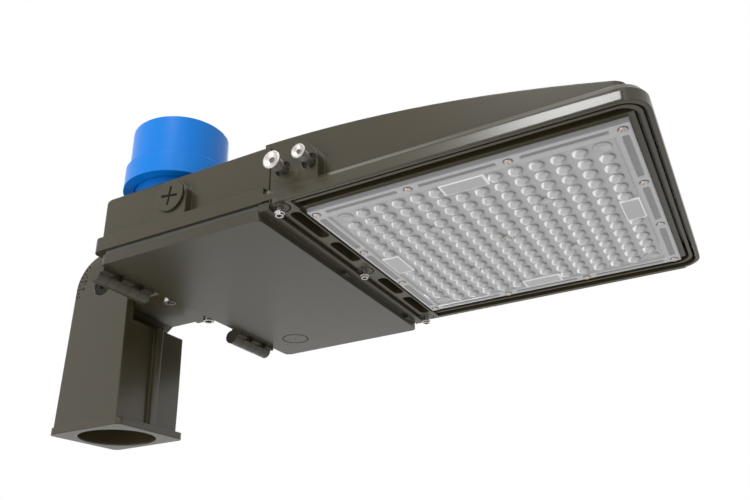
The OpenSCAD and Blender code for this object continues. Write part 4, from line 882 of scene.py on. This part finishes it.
    def screws(self, sizes, finish):
        """Pan heads with a cross recess: height falls by depth where |sin 2t| is small, most at the middle."""
        steel = metal_material("lens_screw_steel", finish.screw_steel, 0.22)
        radius, turns = 2.4 * MM, 24
        share = np.array([0, 1.0, 1.0, 0.93, 0.72, 0.55, 0.30, 0.0])
        rise = np.array([-0.4, -0.4, 0.5, 0.9, 1.25, 1.4, 1.4, 1.4]) * MM
        sink = np.array([0, 0, 0, 0, 0.0, 0.9, 1.0, 1.0]) * MM
        t = np.arange(turns) * 2 * np.pi / turns
        arm = np.clip(1.4 - 2.2 * np.abs(np.sin(2 * t)), 0, 1)
        depth = sink[:, None] * np.maximum(arm[None], np.array([0, 0, 0, 0, 0, 0, 0.55, 1.0])[:, None])
        x = radius * share[:, None] * np.cos(t)[None]
        y = radius * share[:, None] * np.sin(t)[None]
        z = -(rise[:, None] - depth)
        faces = grid_faces(len(share), turns, close_columns=True)
        parts = []
        rows = [(x0, y0, sizes.frame_high) for x0, y0 in self.edge_places(sizes)] + [(0.0, 0.0, 1.1 * MM)]
        for k, (x0, y0, seat) in enumerate(rows):
            turn = 0.7 * k
            xr, yr = x * math.cos(turn) - y * math.sin(turn), x * math.sin(turn) + y * math.cos(turn)
            parts.append((self.place(xr + x0, yr + y0, z + self.floor - seat), faces))
        piece = mesh_object("lens_screw_heads", *collect(parts), "head", steel, "stainless", angle=40)
        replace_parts(piece, "lens_screws")


class AREALIGHT_OT_stage(LightPiece, Operator):
    """Floor, white surround, lamps and camera"""

    bl_idname = "arealight.stage"
    bl_label = "Studio"

    def execute(self, context):
        _, _, camera = settings()
        scene = context.scene
        scene.view_settings.view_transform = "Standard"
        self.floor(scene)
        self.surround(scene)
        self.lamp("key", (-0.6, -1.5, -0.5), (0.25, 0, 0.1), 1.2, 1.2, 13.0)
        self.lamp("under", (0.9, -0.3, -1.2), (0.3, 0, 0.1), 1.5, 1.5, 14.5)
        self.lamp("top", (-0.5, 0.8, 1.5), (0.2, 0, 0.1), 1.5, 1.5, 18.0)
        self.lamp("band", (0.28, -0.87, 1.09), (0.30, -0.12, 0.1), 0.34, 0.20, 6.4)
        self.lamp("edge", (1.02, -1.06, 0.58), (0.03, -0.03, 0.08), 0.24, 0.60, 0.9)
        self.lamp("far", (-0.85, 1.95, 0.01), (0.30, 0, 0.1), 1.2, 0.10, 3.0)
        self.camera(scene, camera)
        return {"FINISHED"}

    def floor(self, scene):
        """A pale square well below the light, which takes its shadow."""
        z, half = -0.62, 6.0
        corners = np.array([[-half, -half, z], [half, -half, z], [half, half, z], [-half, half, z]])
        mesh = bpy.data.meshes.new("floor")
        mesh.from_pydata(corners.tolist(), [], [(0, 1, 2, 3)])
        mat = bpy.data.materials.new("floor_white")
        mat.use_nodes = True
        shader = mat.node_tree.nodes["Principled BSDF"]
        speck = add(mat.node_tree, "ShaderNodeTexNoise", {"Scale": 3.0, "Detail": 2.0})
        tone = add(mat.node_tree, "ShaderNodeMapRange", {"To Min": 0.90, "To Max": 0.93})
        join(mat.node_tree, speck.outputs["Fac"], tone.inputs["Value"])
        join(mat.node_tree, tone.outputs[0], shader.inputs["Base Color"])
        shader.inputs["Roughness"].default_value = 0.8
        mesh.materials.append(mat)
        floor = bpy.data.objects.new("floor", mesh)
        scene.collection.objects.link(floor)

    def surround(self, scene):
        """A world that shows white to the camera, in glass and in gloss, and gives plain light."""
        world = bpy.data.worlds.new("studio")
        scene.world = world
        world.use_nodes = True
        tree = world.node_tree
        path = add(tree, "ShaderNodeLightPath")
        plain = tree.nodes["Background"]
        plain.inputs["Color"].default_value = (1, 1, 1, 1)
        plain.inputs["Strength"].default_value = 0.55
        white = add(tree, "ShaderNodeBackground", {"Color": (1, 1, 1, 1), "Strength": 1.0})
        through = add(tree, "ShaderNodeMath", operation="MAXIMUM")
        join(tree, path.outputs["Is Camera Ray"], through.inputs[0])
        join(tree, path.outputs["Is Transmission Ray"], through.inputs[1])
        shown = add(tree, "ShaderNodeMath", operation="MAXIMUM")
        join(tree, through.outputs[0], shown.inputs[0])
        join(tree, path.outputs["Is Glossy Ray"], shown.inputs[1])
        mix = add(tree, "ShaderNodeMixShader")
        join(tree, shown.outputs[0], mix.inputs[0])
        join(tree, plain.outputs[0], mix.inputs[1])
        join(tree, white.outputs[0], mix.inputs[2])
        join(tree, mix.outputs[0], tree.nodes["World Output"].inputs["Surface"])

    def lamp(self, name, place, aim, wide, high, watts):
        """A soft box turned to its aim, wide and high in metres."""
        data = bpy.data.lights.new(name, "AREA")
        data.shape, data.size, data.size_y, data.energy = "RECTANGLE", wide, high, watts
        obj = bpy.data.objects.new(name, data)
        bpy.context.scene.collection.objects.link(obj)
        obj.location = place
        obj.rotation_euler = (Vector(aim) - Vector(place)).to_track_quat("-Z", "Y").to_euler()

    def camera(self, scene, camera):
        """The camera of the photograph, from below on the near side."""
        right, down, ahead = (0.8860, 0.4630, -0.0270), (-0.2220, 0.3720, -0.9020), (-0.4080, 0.8050, 0.4320)
        data = bpy.data.cameras.new("camera")
        data.lens, data.sensor_width = camera.focal, 36.0
        data.shift_x, data.shift_y = 0.0053, 0.0005
        data.clip_start, data.clip_end = 0.01, 50
        obj = bpy.data.objects.new("camera", data)
        scene.collection.objects.link(obj)
        turn = Matrix((right, tuple(-v for v in down), tuple(-v for v in ahead))).transposed()
        obj.matrix_world = Matrix.Translation(camera.place) @ turn.normalized().to_4x4()
        scene.camera = obj


OPERATORS = (AREALIGHT_OT_castings, AREALIGHT_OT_index_marks, AREALIGHT_OT_hardware, AREALIGHT_OT_photocell,
             AREALIGHT_OT_inner, AREALIGHT_OT_lens_sheet, AREALIGHT_OT_stage)
GROUP_TYPES = (AreaLightFinish, AreaLightSizes, AreaLightCamera)


class AREALIGHT_PT_panel(Panel):
    """Lists the pieces of the light and their settings"""

    bl_idname = "AREALIGHT_PT_panel"
    bl_label = "Shoebox Area Light"
    bl_space_type = "VIEW_3D"
    bl_region_type = "UI"
    bl_category = "Area Light"

    def draw(self, context):
        for operator in OPERATORS:
            self.layout.operator(operator.bl_idname)
        for group in settings():
            for name in group.__annotations__:
                self.layout.prop(group, name)


CLASSES = (*GROUP_TYPES, *OPERATORS, AREALIGHT_PT_panel)


def register():
    """Registers the classes and hangs the settings on the scene."""
    for cls in CLASSES:
        bpy.utils.register_class(cls)
    bpy.types.Scene.area_light_finish = PointerProperty(type=AreaLightFinish)
    bpy.types.Scene.area_light_sizes = PointerProperty(type=AreaLightSizes)
    bpy.types.Scene.area_light_camera = PointerProperty(type=AreaLightCamera)


def unregister():
    """Takes the settings and the classes away again."""
    del bpy.types.Scene.area_light_camera
    del bpy.types.Scene.area_light_sizes
    del bpy.types.Scene.area_light_finish
    for cls in reversed(CLASSES):
        bpy.utils.unregister_class(cls)


def main():
    register()
    for operator in OPERATORS:
        group, name = operator.bl_idname.split(".")
        getattr(getattr(bpy.ops, group), name)()


if __name__ == "__main__":
    main()
